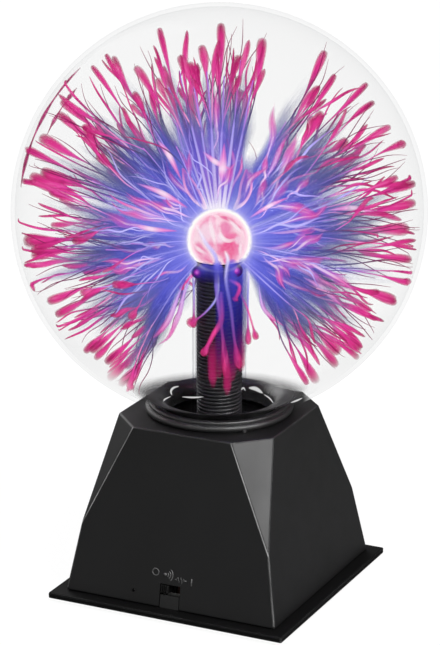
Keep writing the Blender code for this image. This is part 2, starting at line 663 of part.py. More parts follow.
def make_power_stage(materials):
    """A finned heat sink with the power transistor screwed to it."""
    thick, fin, fin_thick, fins = 3.0 * MM, 8.5 * MM, 1.3 * MM, 5
    sink_bm = bmesh.new()
    low_y, high_y = SINK_Y
    top = ON_BOARD + SINK_HEIGHT
    add_box(sink_bm, (SINK_X - fin, low_y, ON_BOARD), (SINK_X + thick, high_y, top))
    sink = solid("heat_sink", sink_bm, materials["aluminium"])
    gaps = bmesh.new()
    pitch = (high_y - low_y - fin_thick) / (fins - 1)
    for i in range(fins - 1):
        start = low_y + i * pitch + fin_thick
        add_box(gaps, (SINK_X - 2 * fin, start, 0), (SINK_X, start + pitch - fin_thick, top + 1 * MM))
    boolean(sink, helper("heat_sink_gaps", gaps), "DIFFERENCE")

    middle = (low_y + high_y) / 2
    screw_z = ON_BOARD + 19 * MM
    across = Matrix.Rotation(math.pi / 2, 4, "Y")
    hole = bmesh.new()
    add_cylinder(hole, 1.7 * MM, -1 * MM, thick + 2 * MM, at(SINK_X, middle, screw_z) @ across, segments=12)
    boolean(sink, helper("heat_sink_hole", hole), "DIFFERENCE")

    face = SINK_X + thick + GAP
    bm = bmesh.new()
    add_box(bm, (face, middle - 5 * MM, ON_BOARD + 6 * MM), (face + 1.3 * MM, middle + 5 * MM, screw_z + 3 * MM))
    transistor = solid("power_transistor", bm, materials["epoxy"])
    case = bmesh.new()
    add_box(case, (face, middle - 5 * MM, ON_BOARD + 6 * MM), (face + 4.4 * MM, middle + 5 * MM, ON_BOARD + 15 * MM))
    boolean(transistor, helper("transistor_case", case), "UNION")
    legs = bmesh.new()
    for i in (-1, 0, 1):
        y = middle + i * 2.54 * MM
        add_box(legs, (face + 2 * MM, y - 0.4 * MM, ON_BOARD), (face + 2.6 * MM, y + 0.4 * MM, ON_BOARD + 7 * MM))
    boolean(transistor, helper("transistor_legs", legs), "UNION")
    eye = bmesh.new()
    add_cylinder(eye, 1.7 * MM, -1 * MM, 4 * MM, at(face, middle, screw_z) @ across, segments=12)
    boolean(transistor, helper("transistor_eye", eye), "DIFFERENCE")
    place = at(face + 1.3 * MM + GAP, middle, screw_z) @ across
    screw("transistor_screw", place, 2.6 * MM, 1.7 * MM, 1.3 * MM, 5 * MM, materials["zinc_steel"])


def make_small_parts(materials):
    radius, height = 6.3 * MM, 22.0 * MM
    can = [
        (0, height),
        (radius - 0.8 * MM, height),
        (radius, height - 0.8 * MM),
        (radius, 3.2 * MM),
        (radius - 0.7 * MM, 2.5 * MM),
        (radius, 1.8 * MM),
        (radius, 0),
        (0, 0),
    ]
    place = at(-6 * MM, -17 * MM, ON_BOARD)
    turned("filter_capacitor", can, materials["can_sleeve"], steps=18, place=place, closed=False)

    film = bmesh.new()
    add_box(film, (-6.5 * MM, -3 * MM, 0), (6.5 * MM, 3 * MM, 11 * MM))
    film = solid("film_capacitor", film, materials["film_case"], at(12 * MM, -20 * MM, ON_BOARD))
    round_edges(film, 0.8 * MM, segments=2)

    chip_place = at(29 * MM, -14 * MM, ON_BOARD)
    chip = bmesh.new()
    add_box(chip, (-4.8 * MM, -3.2 * MM, 0.9 * MM), (4.8 * MM, 3.2 * MM, 4.2 * MM))
    chip = solid("timer_chip", chip, materials["epoxy"], chip_place)
    legs = bmesh.new()
    for i in range(4):
        x = (i - 1.5) * 2.54 * MM
        add_box(legs, (x - 0.35 * MM, -3.8 * MM, 0), (x + 0.35 * MM, -2.9 * MM, 2.6 * MM), chip_place)
        add_box(legs, (x - 0.35 * MM, 2.9 * MM, 0), (x + 0.35 * MM, 3.8 * MM, 2.6 * MM), chip_place)
    boolean(chip, helper("timer_chip_legs", legs), "UNION")


# ---------------------------------------------------------------- switch, microphone and power socket


def make_switch(materials):
    front = wall_frame(-1, 0, SWITCH_Z)
    back_face = FRAME_FACE - FRAME_THICK
    window = (5.4 * MM, 2.45 * MM)

    bm = bmesh.new()
    add_box(bm, (-13.5 * MM, -4 * MM, back_face), (13.5 * MM, 4 * MM, FRAME_FACE))
    frame = solid("switch_frame", bm, materials["zinc_steel"], front)
    opening = bmesh.new()
    add_box(opening, (-window[0], -window[1], -9 * MM), (window[0], window[1], 0), front)
    for x in (-POST_AT, POST_AT):
        add_cylinder(opening, 1.1 * MM, -9 * MM, 0, front @ at(x, 0, 0), segments=12)
    boolean(frame, helper("switch_frame_holes", opening), "DIFFERENCE")

    case_top, case_bottom = back_face - GAP, back_face - 5.3 * MM
    bm = bmesh.new()
    add_box(bm, (-7.5 * MM, -4 * MM, case_bottom), (7.5 * MM, 4 * MM, case_top))
    case = solid("switch_case", bm, materials["bakelite"], front)
    channel = bmesh.new()
    add_box(channel, (-6.7 * MM, -3.2 * MM, case_top - 2.4 * MM), (6.7 * MM, 3.2 * MM, case_top + 1 * MM), front)
    boolean(case, helper("switch_channel", channel), "DIFFERENCE")
    pins = bmesh.new()
    for i in range(4):
        x = (i - 1.5) * 3.0 * MM
        low = case_bottom - 3 * MM
        add_box(pins, (x - 0.6 * MM, -0.3 * MM, low), (x + 0.6 * MM, 0.3 * MM, case_bottom + 0.5 * MM), front)
    boolean(case, helper("switch_pins", pins), "UNION")

    # The knob's origin is on its slide, at the wall's face. Its shoe is taller than the window, which keeps it in.
    knob_place = front @ at(KNOB_REST_X, 0, 0)
    half_x, half_y = KNOB_HALF
    bm = bmesh.new()
    add_box(bm, (-half_x, -half_y, case_top - 2.1 * MM), (half_x, half_y, 0.3 * MM))
    knob = solid("switch_knob", bm, materials["gloss_black"], knob_place)
    round_edges(knob, 0.3 * MM)
    shoe = bmesh.new()
    add_box(shoe, (-3.2 * MM, -2.9 * MM, case_top - 2.1 * MM), (3.2 * MM, 2.9 * MM, case_top - GAP), knob_place)
    boolean(knob, helper("knob_shoe", shoe), "UNION")
    grooves = bmesh.new()
    for x in (-0.9 * MM, 0, 0.9 * MM):
        add_box(grooves, (x - 0.2 * MM, -3 * MM, -0.2 * MM), (x + 0.2 * MM, 3 * MM, 3 * MM), knob_place)
    boolean(knob, helper("knob_grooves", grooves), "DIFFERENCE")

    flip = Matrix.Rotation(math.pi, 4, "X")
    for number, x in enumerate((-POST_AT, POST_AT), 1):
        place = front @ at(x, 0, back_face - GAP) @ flip
        screw(f"switch_screw_{number}", place, 1.8 * MM, 1.2 * MM, 0.75 * MM, 3.6 * MM, materials["zinc_steel"])
    return front, case_bottom - 3 * MM


def make_microphone(material):
    front = wall_frame(-1, *MIC_AT)
    profile = [
        (0, -BODY_WALL - GAP),
        (MIC_RADIUS - 0.4 * MM, -BODY_WALL - GAP),
        (MIC_RADIUS, -BODY_WALL - 0.7 * MM),
        (MIC_RADIUS, -7.2 * MM),
        (0, -7.2 * MM),
    ]
    turned("microphone", profile, material, steps=16, place=front, closed=False)
    return front


def make_jack(materials):
    back = wall_frame(1, 0, JACK_Z)
    bore, depth, tail = 2.75 * MM, -9.0 * MM, -12.0 * MM
    profile = [
        (0, depth),
        (bore, depth),
        (bore, 2.0 * MM),
        (5.2 * MM, 2.0 * MM),
        (5.6 * MM, 1.6 * MM),
        (5.6 * MM, GAP),
        (JACK_RADIUS, GAP),
        (JACK_RADIUS, tail),
        (0, tail),
    ]
    turned("power_jack", profile, materials["gloss_black"], steps=16, place=back, closed=False)
    pin = [(0, 0.4 * MM), (0.7 * MM, 0.4 * MM), (1.0 * MM, 0), (1.0 * MM, depth + GAP), (0, depth + GAP)]
    turned("jack_pin", pin, materials["brass"], steps=12, place=back, closed=False)

    inner = -BODY_WALL - GAP
    nut_bm = bmesh.new()
    add_cylinder(nut_bm, 6.2 * MM, inner - 2.2 * MM, inner, segments=6)
    nut = solid("jack_nut", nut_bm, materials["zinc_steel"], back)
    hole = bmesh.new()
    add_cylinder(hole, JACK_RADIUS + GAP, inner - 4 * MM, inner + 2 * MM, back, segments=16)
    boolean(nut, helper("jack_nut_hole", hole), "DIFFERENCE")
    return back, tail


def make_leads(materials, switch_frame, pin_end, mic_frame, jack_frame, jack_tail):
    radius = 0.7 * MM
    clear = radius + 0.4 * MM
    landing = ON_BOARD + 0.4 * MM
    for name, x, material in (("positive", -2.0 * MM, "red_wire"), ("negative", 2.0 * MM, "black_wire")):
        start = jack_frame @ Vector((-x, 0, jack_tail - 0.7 * MM))
        back_off = jack_frame @ Vector((-x, 0, jack_tail - 4 * MM))
        end_x = 3.5 * x
        path = smooth_path([start, back_off, (end_x, 31 * MM, 20 * MM), (end_x, 27 * MM, landing)], 4)
        wire("power_lead_" + name, path, radius, materials[material])
    for name, x, material in (("a", -4.5 * MM, "red_wire"), ("b", 1.5 * MM, "white_wire")):
        start = switch_frame @ Vector((x, 0, pin_end - 0.7 * MM))
        back_off = switch_frame @ Vector((x, 0, pin_end - 3 * MM))
        path = smooth_path([start, back_off, (1.6 * x, -33 * MM, 19 * MM), (1.6 * x, -28.6 * MM, landing)], 4)
        wire("switch_lead_" + name, path, radius, materials[material])
    start = mic_frame @ Vector((0, 0, -7.2 * MM - 0.7 * MM))
    back_off = mic_frame @ Vector((0, 0, -12 * MM))
    path = smooth_path([start, back_off, (-22 * MM, -34 * MM, 18 * MM + clear), (-22 * MM, -28 * MM, landing)], 4)
    wire("microphone_lead", path, radius, materials["black_wire"])


def build():
    clear_scene()
    materials = make_materials()
    make_housing(materials["black_abs"])
    make_base_plate(materials["black_abs"])
    make_feet(materials["rubber"])
    make_base_screws(materials["zinc_steel"])
    make_globe(materials["clear_glass"])
    make_stem(materials["stem_glass"])
    make_collar(materials["gloss_black"])
    floor_top = make_neck_socket(materials["black_abs"])
    make_socket_screws(materials["zinc_steel"])
    make_neck_cushion(materials["rubber"], floor_top)
    make_stem_plug(materials["rubber"], floor_top)
    make_column(materials)
    make_board(materials)
    make_transformer(materials)
    make_power_stage(materials)
    make_small_parts(materials)
    switch_frame, pin_end = make_switch(materials)
    mic_frame = make_microphone(materials["aluminium"])
    jack_frame, jack_tail = make_jack(materials)
    make_leads(materials, switch_frame, pin_end, mic_frame, jack_frame, jack_tail)


build()
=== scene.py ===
"""Looks of the plasma ball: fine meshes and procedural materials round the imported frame. Metres, +Z up."""

import math

import bmesh
import bpy
import numpy as np
from mathutils import Matrix, Vector


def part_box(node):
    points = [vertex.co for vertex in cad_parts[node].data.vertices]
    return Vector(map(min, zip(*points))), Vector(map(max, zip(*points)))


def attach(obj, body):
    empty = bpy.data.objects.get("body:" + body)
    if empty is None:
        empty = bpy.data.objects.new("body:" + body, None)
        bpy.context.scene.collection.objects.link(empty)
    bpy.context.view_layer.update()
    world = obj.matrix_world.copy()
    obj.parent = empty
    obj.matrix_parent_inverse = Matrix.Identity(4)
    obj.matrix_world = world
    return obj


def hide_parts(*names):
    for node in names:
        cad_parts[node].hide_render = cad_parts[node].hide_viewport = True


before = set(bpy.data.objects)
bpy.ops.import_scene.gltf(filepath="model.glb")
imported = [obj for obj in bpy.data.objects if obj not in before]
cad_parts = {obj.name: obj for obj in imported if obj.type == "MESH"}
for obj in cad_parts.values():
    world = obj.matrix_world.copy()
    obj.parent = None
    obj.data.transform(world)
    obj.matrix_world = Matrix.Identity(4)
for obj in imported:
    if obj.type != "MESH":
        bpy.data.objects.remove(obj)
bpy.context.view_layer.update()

MM = 0.001
BASE = "base"

# ---------------------------------------------------------------- places, from the frame

GLOBE_LOW, GLOBE_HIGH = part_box("globe_glass")
GLOBE_RADIUS = (GLOBE_HIGH.x - GLOBE_LOW.x) / 2
GLOBE = Vector((0, 0, GLOBE_HIGH.z - GLOBE_RADIUS))
GLASS_WALL = 2.0 * MM
NECK_END = GLOBE_LOW.z
NECK_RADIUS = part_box("electrode_stem")[1].x
NECK_FILLET = 4.0 * MM
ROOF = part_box("housing")[1].z
RIM = GLOBE.z - math.sqrt(GLOBE_RADIUS**2 - NECK_RADIUS**2)  # where the sphere would meet the neck
BULB_RADIUS = 15.8 * MM
BULB = Vector((0, 0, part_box("electrode_stem")[1].z - BULB_RADIUS))
WOOL_FLAT = 9.6 * MM  # the wool ends, and the coil begins, this far under the bulb's middle
STEM_RADIUS = 13.3 * MM
STEM_WALL = 1.5 * MM
COLLAR_RADIUS = 37.0 * MM
CORNER_REACH = 104 * MM  # |x| + |y| beyond which a point of the housing is at one of its corners
WALL_SLOPE = math.atan2(14.8, 86.1)  # the housing's walls lean in by 14.8 in a height of 86.1
PLATE_TOP = 5.3 * MM
EDGE_ROUNDING = 0.7 * MM
WOOL_RADIUS = 14.0 * MM
COIL_RADIUS, COIL_WIRE, COIL_PITCH = 10.5 * MM, 0.92 * MM, 1.88 * MM
HALO_RADIUS = 30 * MM
SPARK_REACH = 15.4  # mm from the axis
MARKS_HEIGHT = 21.6 * MM
STROKE = 0.4  # a raised mark's half width in mm
FLOOR_HALF = 9.0
LIGHTS_AIM = Vector((0, 0, 120 * MM))

# The camera's place, aim and lens. It looks at the front from the right and from above.
CAMERA_AZIMUTH = math.radians(25.8)
CAMERA_ELEVATION = math.radians(16.96)
CAMERA_DISTANCE = 1376.6 * MM
CAMERA_AIM = Vector((0, 0, 152 * MM))
CAMERA_LENS = 156.3
CAMERA_SHIFT = (0.0011, -0.047)
TO_CAMERA = Vector(
    (
        math.sin(CAMERA_AZIMUTH) * math.cos(CAMERA_ELEVATION),
        -math.cos(CAMERA_AZIMUTH) * math.cos(CAMERA_ELEVATION),
        math.sin(CAMERA_ELEVATION),
    )
)
CAMERA_RIGHT = Vector((math.cos(CAMERA_AZIMUTH), math.sin(CAMERA_AZIMUTH), 0))
RIGHT, UP, NEAR = (np.array(way) for way in (CAMERA_RIGHT, TO_CAMERA.cross(CAMERA_RIGHT), TO_CAMERA))
FRONT = math.atan2(TO_CAMERA.y, TO_CAMERA.x)  # the turn about Z from +X to the camera
GLOBE_AT, BULB_AT = np.array(GLOBE), np.array(BULB)


def linear(code):
    """A screen colour such as "5a5fd0" as linear red, green and blue."""
    parts = [int(code[i : i + 2], 16) / 255 for i in (0, 2, 4)]
    return tuple(v / 12.92 if v <= 0.04045 else ((v + 0.055) / 1.055) ** 2.4 for v in parts)


# ---------------------------------------------------------------- material building


class Shader:
    """The node tree of a material or a world. A value put into a node is a number, a tuple, a screen colour
    such as "5a5fd0" or another node's socket."""

    def __init__(self, name, owners="materials", output="OutputMaterial"):
        self.owner = getattr(bpy.data, owners).new(name)
        self.owner.use_nodes = True
        self.tree = self.owner.node_tree
        self.tree.nodes.clear()
        self.output = self.node(output)

    def node(self, kind, settings=None, **sockets):
        """A node. Its sockets are named in lower case, with _ for a space."""
        node = self.tree.nodes.new("ShaderNode" + kind)
        for key, value in (settings or {}).items():
            setattr(node, key, value)
        for key, value in sockets.items():
            name = key.replace("_", " ")
            self.put(next(item for item in node.inputs if item.name.lower() == name and item.enabled), value)
        return node

    def add(self, kind, output=0, settings=None, **sockets):
        return self.node(kind, settings, **sockets).outputs[output]

    def fill(self, kind, values, settings=None, output=0):
        """A node whose sockets take the values in order."""
        node = self.node(kind, settings)
        for socket, value in zip(node.inputs, values):
            self.put(socket, value)
        return node.outputs[output]

    def put(self, socket, value):
        if isinstance(value, str):
            value = linear(value)
        if isinstance(value, bpy.types.NodeSocket):
            self.tree.links.new(value, socket)
        elif isinstance(value, tuple) and len(value) == 3 and socket.type == "RGBA":
            socket.default_value = (*value, 1.0)
        else:
            socket.default_value = value

    def maths(self, operation, *values):
        return self.fill("Math", values, {"operation": operation})

    def times(self, first, second):
        return self.maths("MULTIPLY", first, second)

    def scaled(self, value, gain, offset):
        return self.maths("ADD", self.times(value, gain), offset)

    def vector(self, operation, *values):
        output = "Value" if operation in ("DISTANCE", "DOT_PRODUCT", "LENGTH") else "Vector"
        return self.fill("VectorMath", values, {"operation": operation}, output)

    def ramp(self, amount, stops, smooth=False):
        """Colour stops, each (position, colour)."""
        node = self.node("ValToRGB", fac=amount)
        if smooth:
            node.color_ramp.interpolation = "EASE"
        elements = node.color_ramp.elements
        while len(elements) < len(stops):
            elements.new(1.0)
        for element, (position, colour) in zip(elements, stops):
            element.position = position
            element.color = (*(linear(colour) if isinstance(colour, str) else colour), 1.0)
        return node.outputs["Color"]

    def level(self, amount, stops, smooth=False):
        """The same for plain numbers, each stop (position, value)."""
        return self.ramp(amount, [(p, (v, v, v)) for p, v in stops], smooth)

    def blend(self, amount, first, second, blend_type="MIX"):
        node = self.node("Mix", {"data_type": "RGBA", "blend_type": blend_type})
        for index, value in ((0, amount), (6, first), (7, second)):
            self.put(node.inputs[index], value)
        return node.outputs[2]

    def here(self):
        """The place on the object."""
        return self.add("TexCoord", "Object")

    def place(self, scale=(1, 1, 1), move=(0, 0, 0)):
        return self.add("Mapping", vector=self.here(), scale=scale, location=move)

    def height(self, place):
        return self.add("SeparateXYZ", "Z", vector=place)

    def noise(self, scale, detail=4.0, roughness=0.55, vector=None):
        vector = vector or self.here()
        return self.add("TexNoise", "Fac", vector=vector, scale=scale, detail=detail, roughness=roughness)

    def bands(self, direction, **sockets):
        return self.add("TexWave", "Fac", {"wave_type": "BANDS", "bands_direction": direction}, **sockets)

    def bump(self, height, strength, distance):
        return self.add("Bump", height=height, strength=strength, distance=distance)

    def facing(self):
        """0 where the surface faces the eye, 1 at its outline."""
        return self.add("LayerWeight", "Facing", blend=0.5)

    def mix(self, amount, first, second):
        """The first shader, passing over into the second by amount."""
        return self.fill("MixShader", (amount, first, second))

    def over_clear(self, amount, shader):
        """The shader over clear air, by amount."""
        return self.mix(amount, self.add("BsdfTransparent"), shader)

    def finish(self, shader):
        self.put(self.output.inputs["Surface"], shader)
        return self.owner

    def surface(self, **sockets):
        return self.finish(self.add("BsdfPrincipled", **sockets))

    def light(self, amount, colour, strength=1.0):
        """Light in the air, which isn't sampled as a lamp."""
        self.owner.cycles.emission_sampling = "NONE"
        return self.finish(self.over_clear(amount, self.add("Emission", color=colour, strength=strength)))


def painted_edge_highlights(s, edge_highlights, facets):
    """How bright the plastic's edges are painted, as painted highlight where they would catch the light. Edges
    are (strength, lowest height, highest height, strength over that), and facets is the corner facets' plane."""
    strength, low, high, beyond = edge_highlights
    flat = s.add("NewGeometry", "Normal")
    # Painted highlight on the rounded edges, found from the bevel normal.
    rounded = s.add("Bevel", settings={"samples": 6}, radius=EDGE_ROUNDING)
    edge = s.level(s.vector("DOT_PRODUCT", rounded, flat), [(0.965, strength), (0.992, 0.0)])
    place = s.here()
    height = s.height(place)
    folded = s.vector("ABSOLUTE", place)
    at_corner = s.maths("GREATER_THAN", s.vector("DOT_PRODUCT", folded, (1, 1, 0)), CORNER_REACH)
    over_plate = s.maths("GREATER_THAN", height, PLATE_TOP + 1.5 * MM)
    above = s.maths("MAXIMUM", s.maths("GREATER_THAN", height, low), s.times(at_corner, over_plate))
    below = s.level(s.maths("SUBTRACT", height, high - 1), [(0.999, 1.0), (1.0, beyond)])
    highlight = s.times(edge, s.times(above, below))
    if facets:
        normal, distance = facets
        # A painted highlight line where the front and back walls meet the corner facets.
        depth = s.maths("SUBTRACT", distance, s.vector("DOT_PRODUCT", folded, normal))
        on_wall = s.maths("GREATER_THAN", s.vector("DOT_PRODUCT", s.vector("ABSOLUTE", flat), (0, 1, 0)), 0.8)
        line = s.level(s.maths("DIVIDE", depth, 1 * MM), [(0.26, 0.75), (0.4, 0.0)])
        highlight = s.maths("MAXIMUM", highlight, s.times(line, on_wall))
    return s.times(highlight, s.level(s.noise(55, 3), [(0.4, 0.4), (0.62, 1.0)]))


def moulded_plastic(
    name, colour, lighter, roughness, grain=1.0, specular=0.5, edge_highlights=None, facets=None, upper=None
):
    """Moulded black plastic: a fine spark-eroded grain, faint flow marks and uneven shine, and, where edge
    highlights are given, painted highlights that lighten its edges. Upper is the colour of what stands over the
    plate."""
    s = Shader(name)
    flow = s.noise(22, 3, vector=s.place((1, 1, 0.35)))
    speckle = s.noise(2600, 2)
    base = s.blend(s.level(flow, [(0.3, 0.0), (0.75, 1.0)]), colour, lighter)
    if edge_highlights:
        # Painted highlight: the edges are blended towards pale grey.
        base = s.blend(painted_edge_highlights(s, edge_highlights, facets), base, "d0d0d0")
    shine = specular
    if upper:
        is_upper = s.maths("GREATER_THAN", s.height(s.here()), PLATE_TOP + 0.3 * MM)
        base = s.blend(is_upper, base, upper)
        shine = s.scaled(is_upper, 0.5 - specular, specular)
    rough = s.scaled(speckle, 0.08, s.scaled(s.noise(60, 4), 0.16, roughness - 0.08))
    normal = s.bump(speckle, 0.12 * grain, 0.06 * MM)
    return s.surface(base_color=base, roughness=rough, normal=normal, specular_ior_level=shine)


def facet_plane():
    """Normal and distance of the housing's corner facets, which are one plane in terms of |x|, |y| and z."""
    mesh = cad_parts["housing"].data
    leaning = [p for p in mesh.polygons if 0.05 < p.normal.z < 0.9]
    slanted = [p for p in leaning if abs(abs(p.normal.x) - abs(p.normal.y)) < 0.02]
    facet = max(slanted, key=lambda polygon: polygon.area)
    normal = Vector([abs(v) for v in facet.normal])
    return tuple(normal), normal.dot(Vector([abs(v) for v in mesh.vertices[facet.vertices[0]].co]))


def rubber(name, colour):
    s = Shader(name)
    speckle = s.noise(1500, 3)
    base = s.blend(s.noise(90, 3), colour, tuple(1.6 * c for c in linear(colour)))
    rough, normal = s.scaled(speckle, 0.15, 0.7), s.bump(speckle, 0.3, 0.1 * MM)
    return s.surface(base_color=base, roughness=rough, normal=normal, specular_ior_level=0.3)


def metal(name, colour, roughness, brushed):
    """Metal with fine brushing along the axis whose scale is smallest, and faint dulling."""
    s = Shader(name)
    lines, dull = s.noise(400, 3, vector=s.place(brushed)), s.noise(70, 4)
    base = s.blend(dull, colour, tuple(0.72 * c for c in colour))
    rough = s.scaled(dull, 0.1, s.scaled(lines, 0.2, roughness - 0.06))
    return s.surface(base_color=base, metallic=1.0, roughness=rough, normal=s.bump(lines, 0.08, 0.05 * MM))


def cast(name, colour, lighter, roughness, scale=300):
    """A plain cast, potted or dipped surface with a fine mottle."""
    s = Shader(name)
    mottle = s.noise(scale, 4)
    rough, normal = s.scaled(mottle, 0.2, roughness - 0.1), s.bump(mottle, 0.15, 0.08 * MM)
    return s.surface(base_color=s.blend(mottle, colour, lighter), roughness=rough, normal=normal)


def wound(name, colour, darker, pitch, metallic):
    """Turns of wire or tape laid side by side up the Z axis."""
    s = Shader(name)
    turns = s.bands("Z", vector=s.here(), scale=math.pi / (10 * pitch), distortion=0.4, detail=1.0)
    base, normal = s.blend(turns, darker, colour), s.bump(turns, 0.6, 0.2 * MM)
    return s.surface(base_color=base, metallic=metallic, roughness=0.35, normal=normal)


def board_laminate(name):
    """Green solder mask with copper tracks showing under it."""
    s = Shader(name)
    greens = {"color1": "0f5a34", "color2": "146b40", "mortar": "0a3d24"}
    tracks = s.add("TexBrick", "Color", vector=s.place(), scale=90.0, mortar_size=0.025, **greens)
    weave = s.noise(900, 2)
    base = s.blend(0.25, tracks, s.blend(weave, "0b4427", "1a7a4b"))
    return s.surface(base_color=base, roughness=0.35, normal=s.bump(weave, 0.1, 0.05 * MM))


def clear_glass(name, tint, edge_tint, painted_backdrop=False):
    """Thin blown glass: it passes light straight on, greyer where it is seen edge on, and mirrors by angle."""
    s = Shader(name)
    facing = s.facing()
    through = s.blend(s.level(facing, [(0.6, 0.0), (0.85, 0.3), (1.0, 1.0)]), tint, edge_tint)
    ripple = s.bump(s.noise(35, 2), 0.02, 0.3 * MM)
    shine = s.add("BsdfGlossy", color=(0.9, 0.9, 0.9), roughness=0.03, normal=ripple)
    mirrored = s.scaled(s.maths("POWER", facing, 5.0), 0.045, 0.0012)
    glass = s.mix(mirrored, s.add("BsdfTransparent", color=through), shine)
    # With painted_backdrop, the low sides get painted light in place of the bent backdrop.
    return s.finish(painted_backdrop_glow(s, glass, facing) if painted_backdrop else glass)


def painted_backdrop_glow(s, glass, facing):
    """Painted light: low at the sides, where the globe is seen so far edge on that it bends the base out of
    sight, an even pale grey glow is painted over the glass in place of the white backdrop that the glass would
    bend into view.
    """
    place = s.here()
    sideways = s.vector("NORMALIZE", s.vector("CROSS_PRODUCT", s.add("NewGeometry", "Incoming"), (0, 0, 1)))
    aside = s.maths("ABSOLUTE", s.vector("DOT_PRODUCT", place, sideways))
    low = s.level(s.times(s.height(place), 5), [(0.56, 1.0), (0.7, 0.0)])
    amount = s.level(s.times(aside, 10), [(0.41, 0.0), (0.52, 0.75)], smooth=True)
    amount = s.times(s.times(amount, low), s.level(facing, [(0.5, 0.0), (0.72, 1.0)]))
    # The painted light itself: pale grey emission mixed over the glass.
    return s.mix(amount, glass, s.add("Emission", color=(0.92, 0.92, 0.92), strength=1.0))


# ---------------------------------------------------------------- meshes


def new_object(name, mesh, material, smooth=True):
    mesh.materials.append(material)
    if smooth:
        mesh.shade_smooth()
    mesh.update()
    obj = bpy.data.objects.new(name, mesh)
    bpy.context.scene.collection.objects.link(obj)
    return obj


def listed_mesh(name, verts, faces):
    mesh = bpy.data.meshes.new(name)
    mesh.from_pydata([tuple(v) for v in verts], [], faces)
    return mesh


def standing_for(obj, slot, *nodes):
    """The finished piece rides on the base, and stands for these CAD nodes."""
    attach(obj, BASE)
    if nodes:
        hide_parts(*nodes)


def glowing(obj):
    """A piece of light rides on the base, and casts no shadow."""
    obj.visible_shadow = False
    standing_for(obj, "globe_glass")


def arc(centre, radius, start, end, count):
    """Points of an arc in the (r, z) plane, in degrees, both ends included."""
    turn = np.radians(np.linspace(start, end, count))
    return [(centre[0] + radius * math.cos(a), centre[1] + radius * math.sin(a)) for a in turn]


def ball(z, radius, count):
    """The profile of a ball whose middle is on the axis."""
    return [(0, z + radius), *arc((0, z), radius, 90, -90, count)[1:-1], (0, z - radius)]


def turned(name, profile, material, steps, crease=40, at=None):
    """A (r, z) profile turned about Z. It shares its points on the axis, or is closed if it has none."""
    verts, rings = [], []
    turn = [2 * math.pi * i / steps for i in range(steps)]
    for r, z in profile:
        if r < 1e-7:
            rings.append([len(verts)] * steps)
            verts.append((0, 0, z))
        else:
            rings.append(list(range(len(verts), len(verts) + steps)))
            verts += [(r * math.cos(a), r * math.sin(a), z) for a in turn]
    pairs = list(zip(rings, rings[1:]))
    if profile[0][0] > 1e-7 and profile[-1][0] > 1e-7:
        pairs.append((rings[-1], rings[0]))
    faces = []
    for lower, upper in pairs:
        for i in range(steps):
            j = (i + 1) % steps
            faces.append(tuple(dict.fromkeys((lower[i], lower[j], upper[j], upper[i]))))
    if at:
        verts = [at + Vector(v) for v in verts]
    obj = new_object(name, listed_mesh(name, verts, faces), material)
    obj.data.validate()
    facing_out(obj.data)
    obj.data.set_sharp_from_angle(angle=math.radians(crease))
    return obj


def facing_out(mesh):
    bm = bmesh.new()
    bm.from_mesh(mesh)
    bmesh.ops.recalc_face_normals(bm, faces=bm.faces)
    bm.to_mesh(mesh)
    bm.free()
    mesh.update()


def sphere_fillet(radius, inner_radius, fillet):
    """Centre of the fillet between globe and neck, in the (r, z) plane, and where they meet, in degrees."""
    r = inner_radius + fillet
    z = GLOBE.z - math.sqrt((radius + fillet) ** 2 - r**2)
    return (r, z), math.degrees(math.atan2(z - GLOBE.z, r))


class Tubes:
    """Round tubes along paths, gathered into one mesh that holds a colour and an opacity at every point."""

    def __init__(self, sides):
        self.sides = sides
        self.points, self.colours, self.faces = [], [], []
        self.count = 0

    def add(self, path, radii, colours):
        path, n = np.asarray(path, float), len(path)
        along = np.gradient(path, axis=0)
        along /= np.linalg.norm(along, axis=1)[:, None]
        side = np.cross(along[0], (0.3, 0.5, 0.81))
        turn = np.linspace(0, 2 * math.pi, self.sides, endpoint=False)
        rings = []
        for i in range(n):
            side = side - along[i] * (side @ along[i])
            side /= np.linalg.norm(side)
            up = np.cross(along[i], side)
            rings.append(path[i] + radii[i] * (np.outer(np.cos(turn), side) + np.outer(np.sin(turn), up)))
        start, k = self.count, self.sides
        self.points += [*rings, path[:1] - along[0] * radii[0] * 0.5, path[-1:] + along[-1] * radii[-1] * 0.5]
        self.colours += [np.repeat(colours, k, axis=0), colours[:1], colours[-1:]]
        first, last = start + n * k, start + n * k + 1
        for i in range(n - 1):
            a = start + i * k
            for j in range(k):
                m = (j + 1) % k
                self.faces.append((a + j, a + m, a + k + m, a + k + j))
        for j in range(k):
            m = (j + 1) % k
            self.faces.append((start + m, start + j, first))
            self.faces.append((last - 1 - k + j, last - 1 - k + m, last))
        self.count += n * k + 2

    def plain(self, path, radius):
        self.add(path, np.full(len(path), radius), np.ones((len(path), 4)))

    def make(self, name, material):
        mesh = listed_mesh(name, np.concatenate(self.points), self.faces)
        obj = new_object(name, mesh, material)
        layer = obj.data.color_attributes.new("glow", "FLOAT_COLOR", "POINT")
        layer.data.foreach_set("color", np.concatenate(self.colours).astype(np.float32).ravel())
        return obj


# ---------------------------------------------------------------- globe, stem and collar


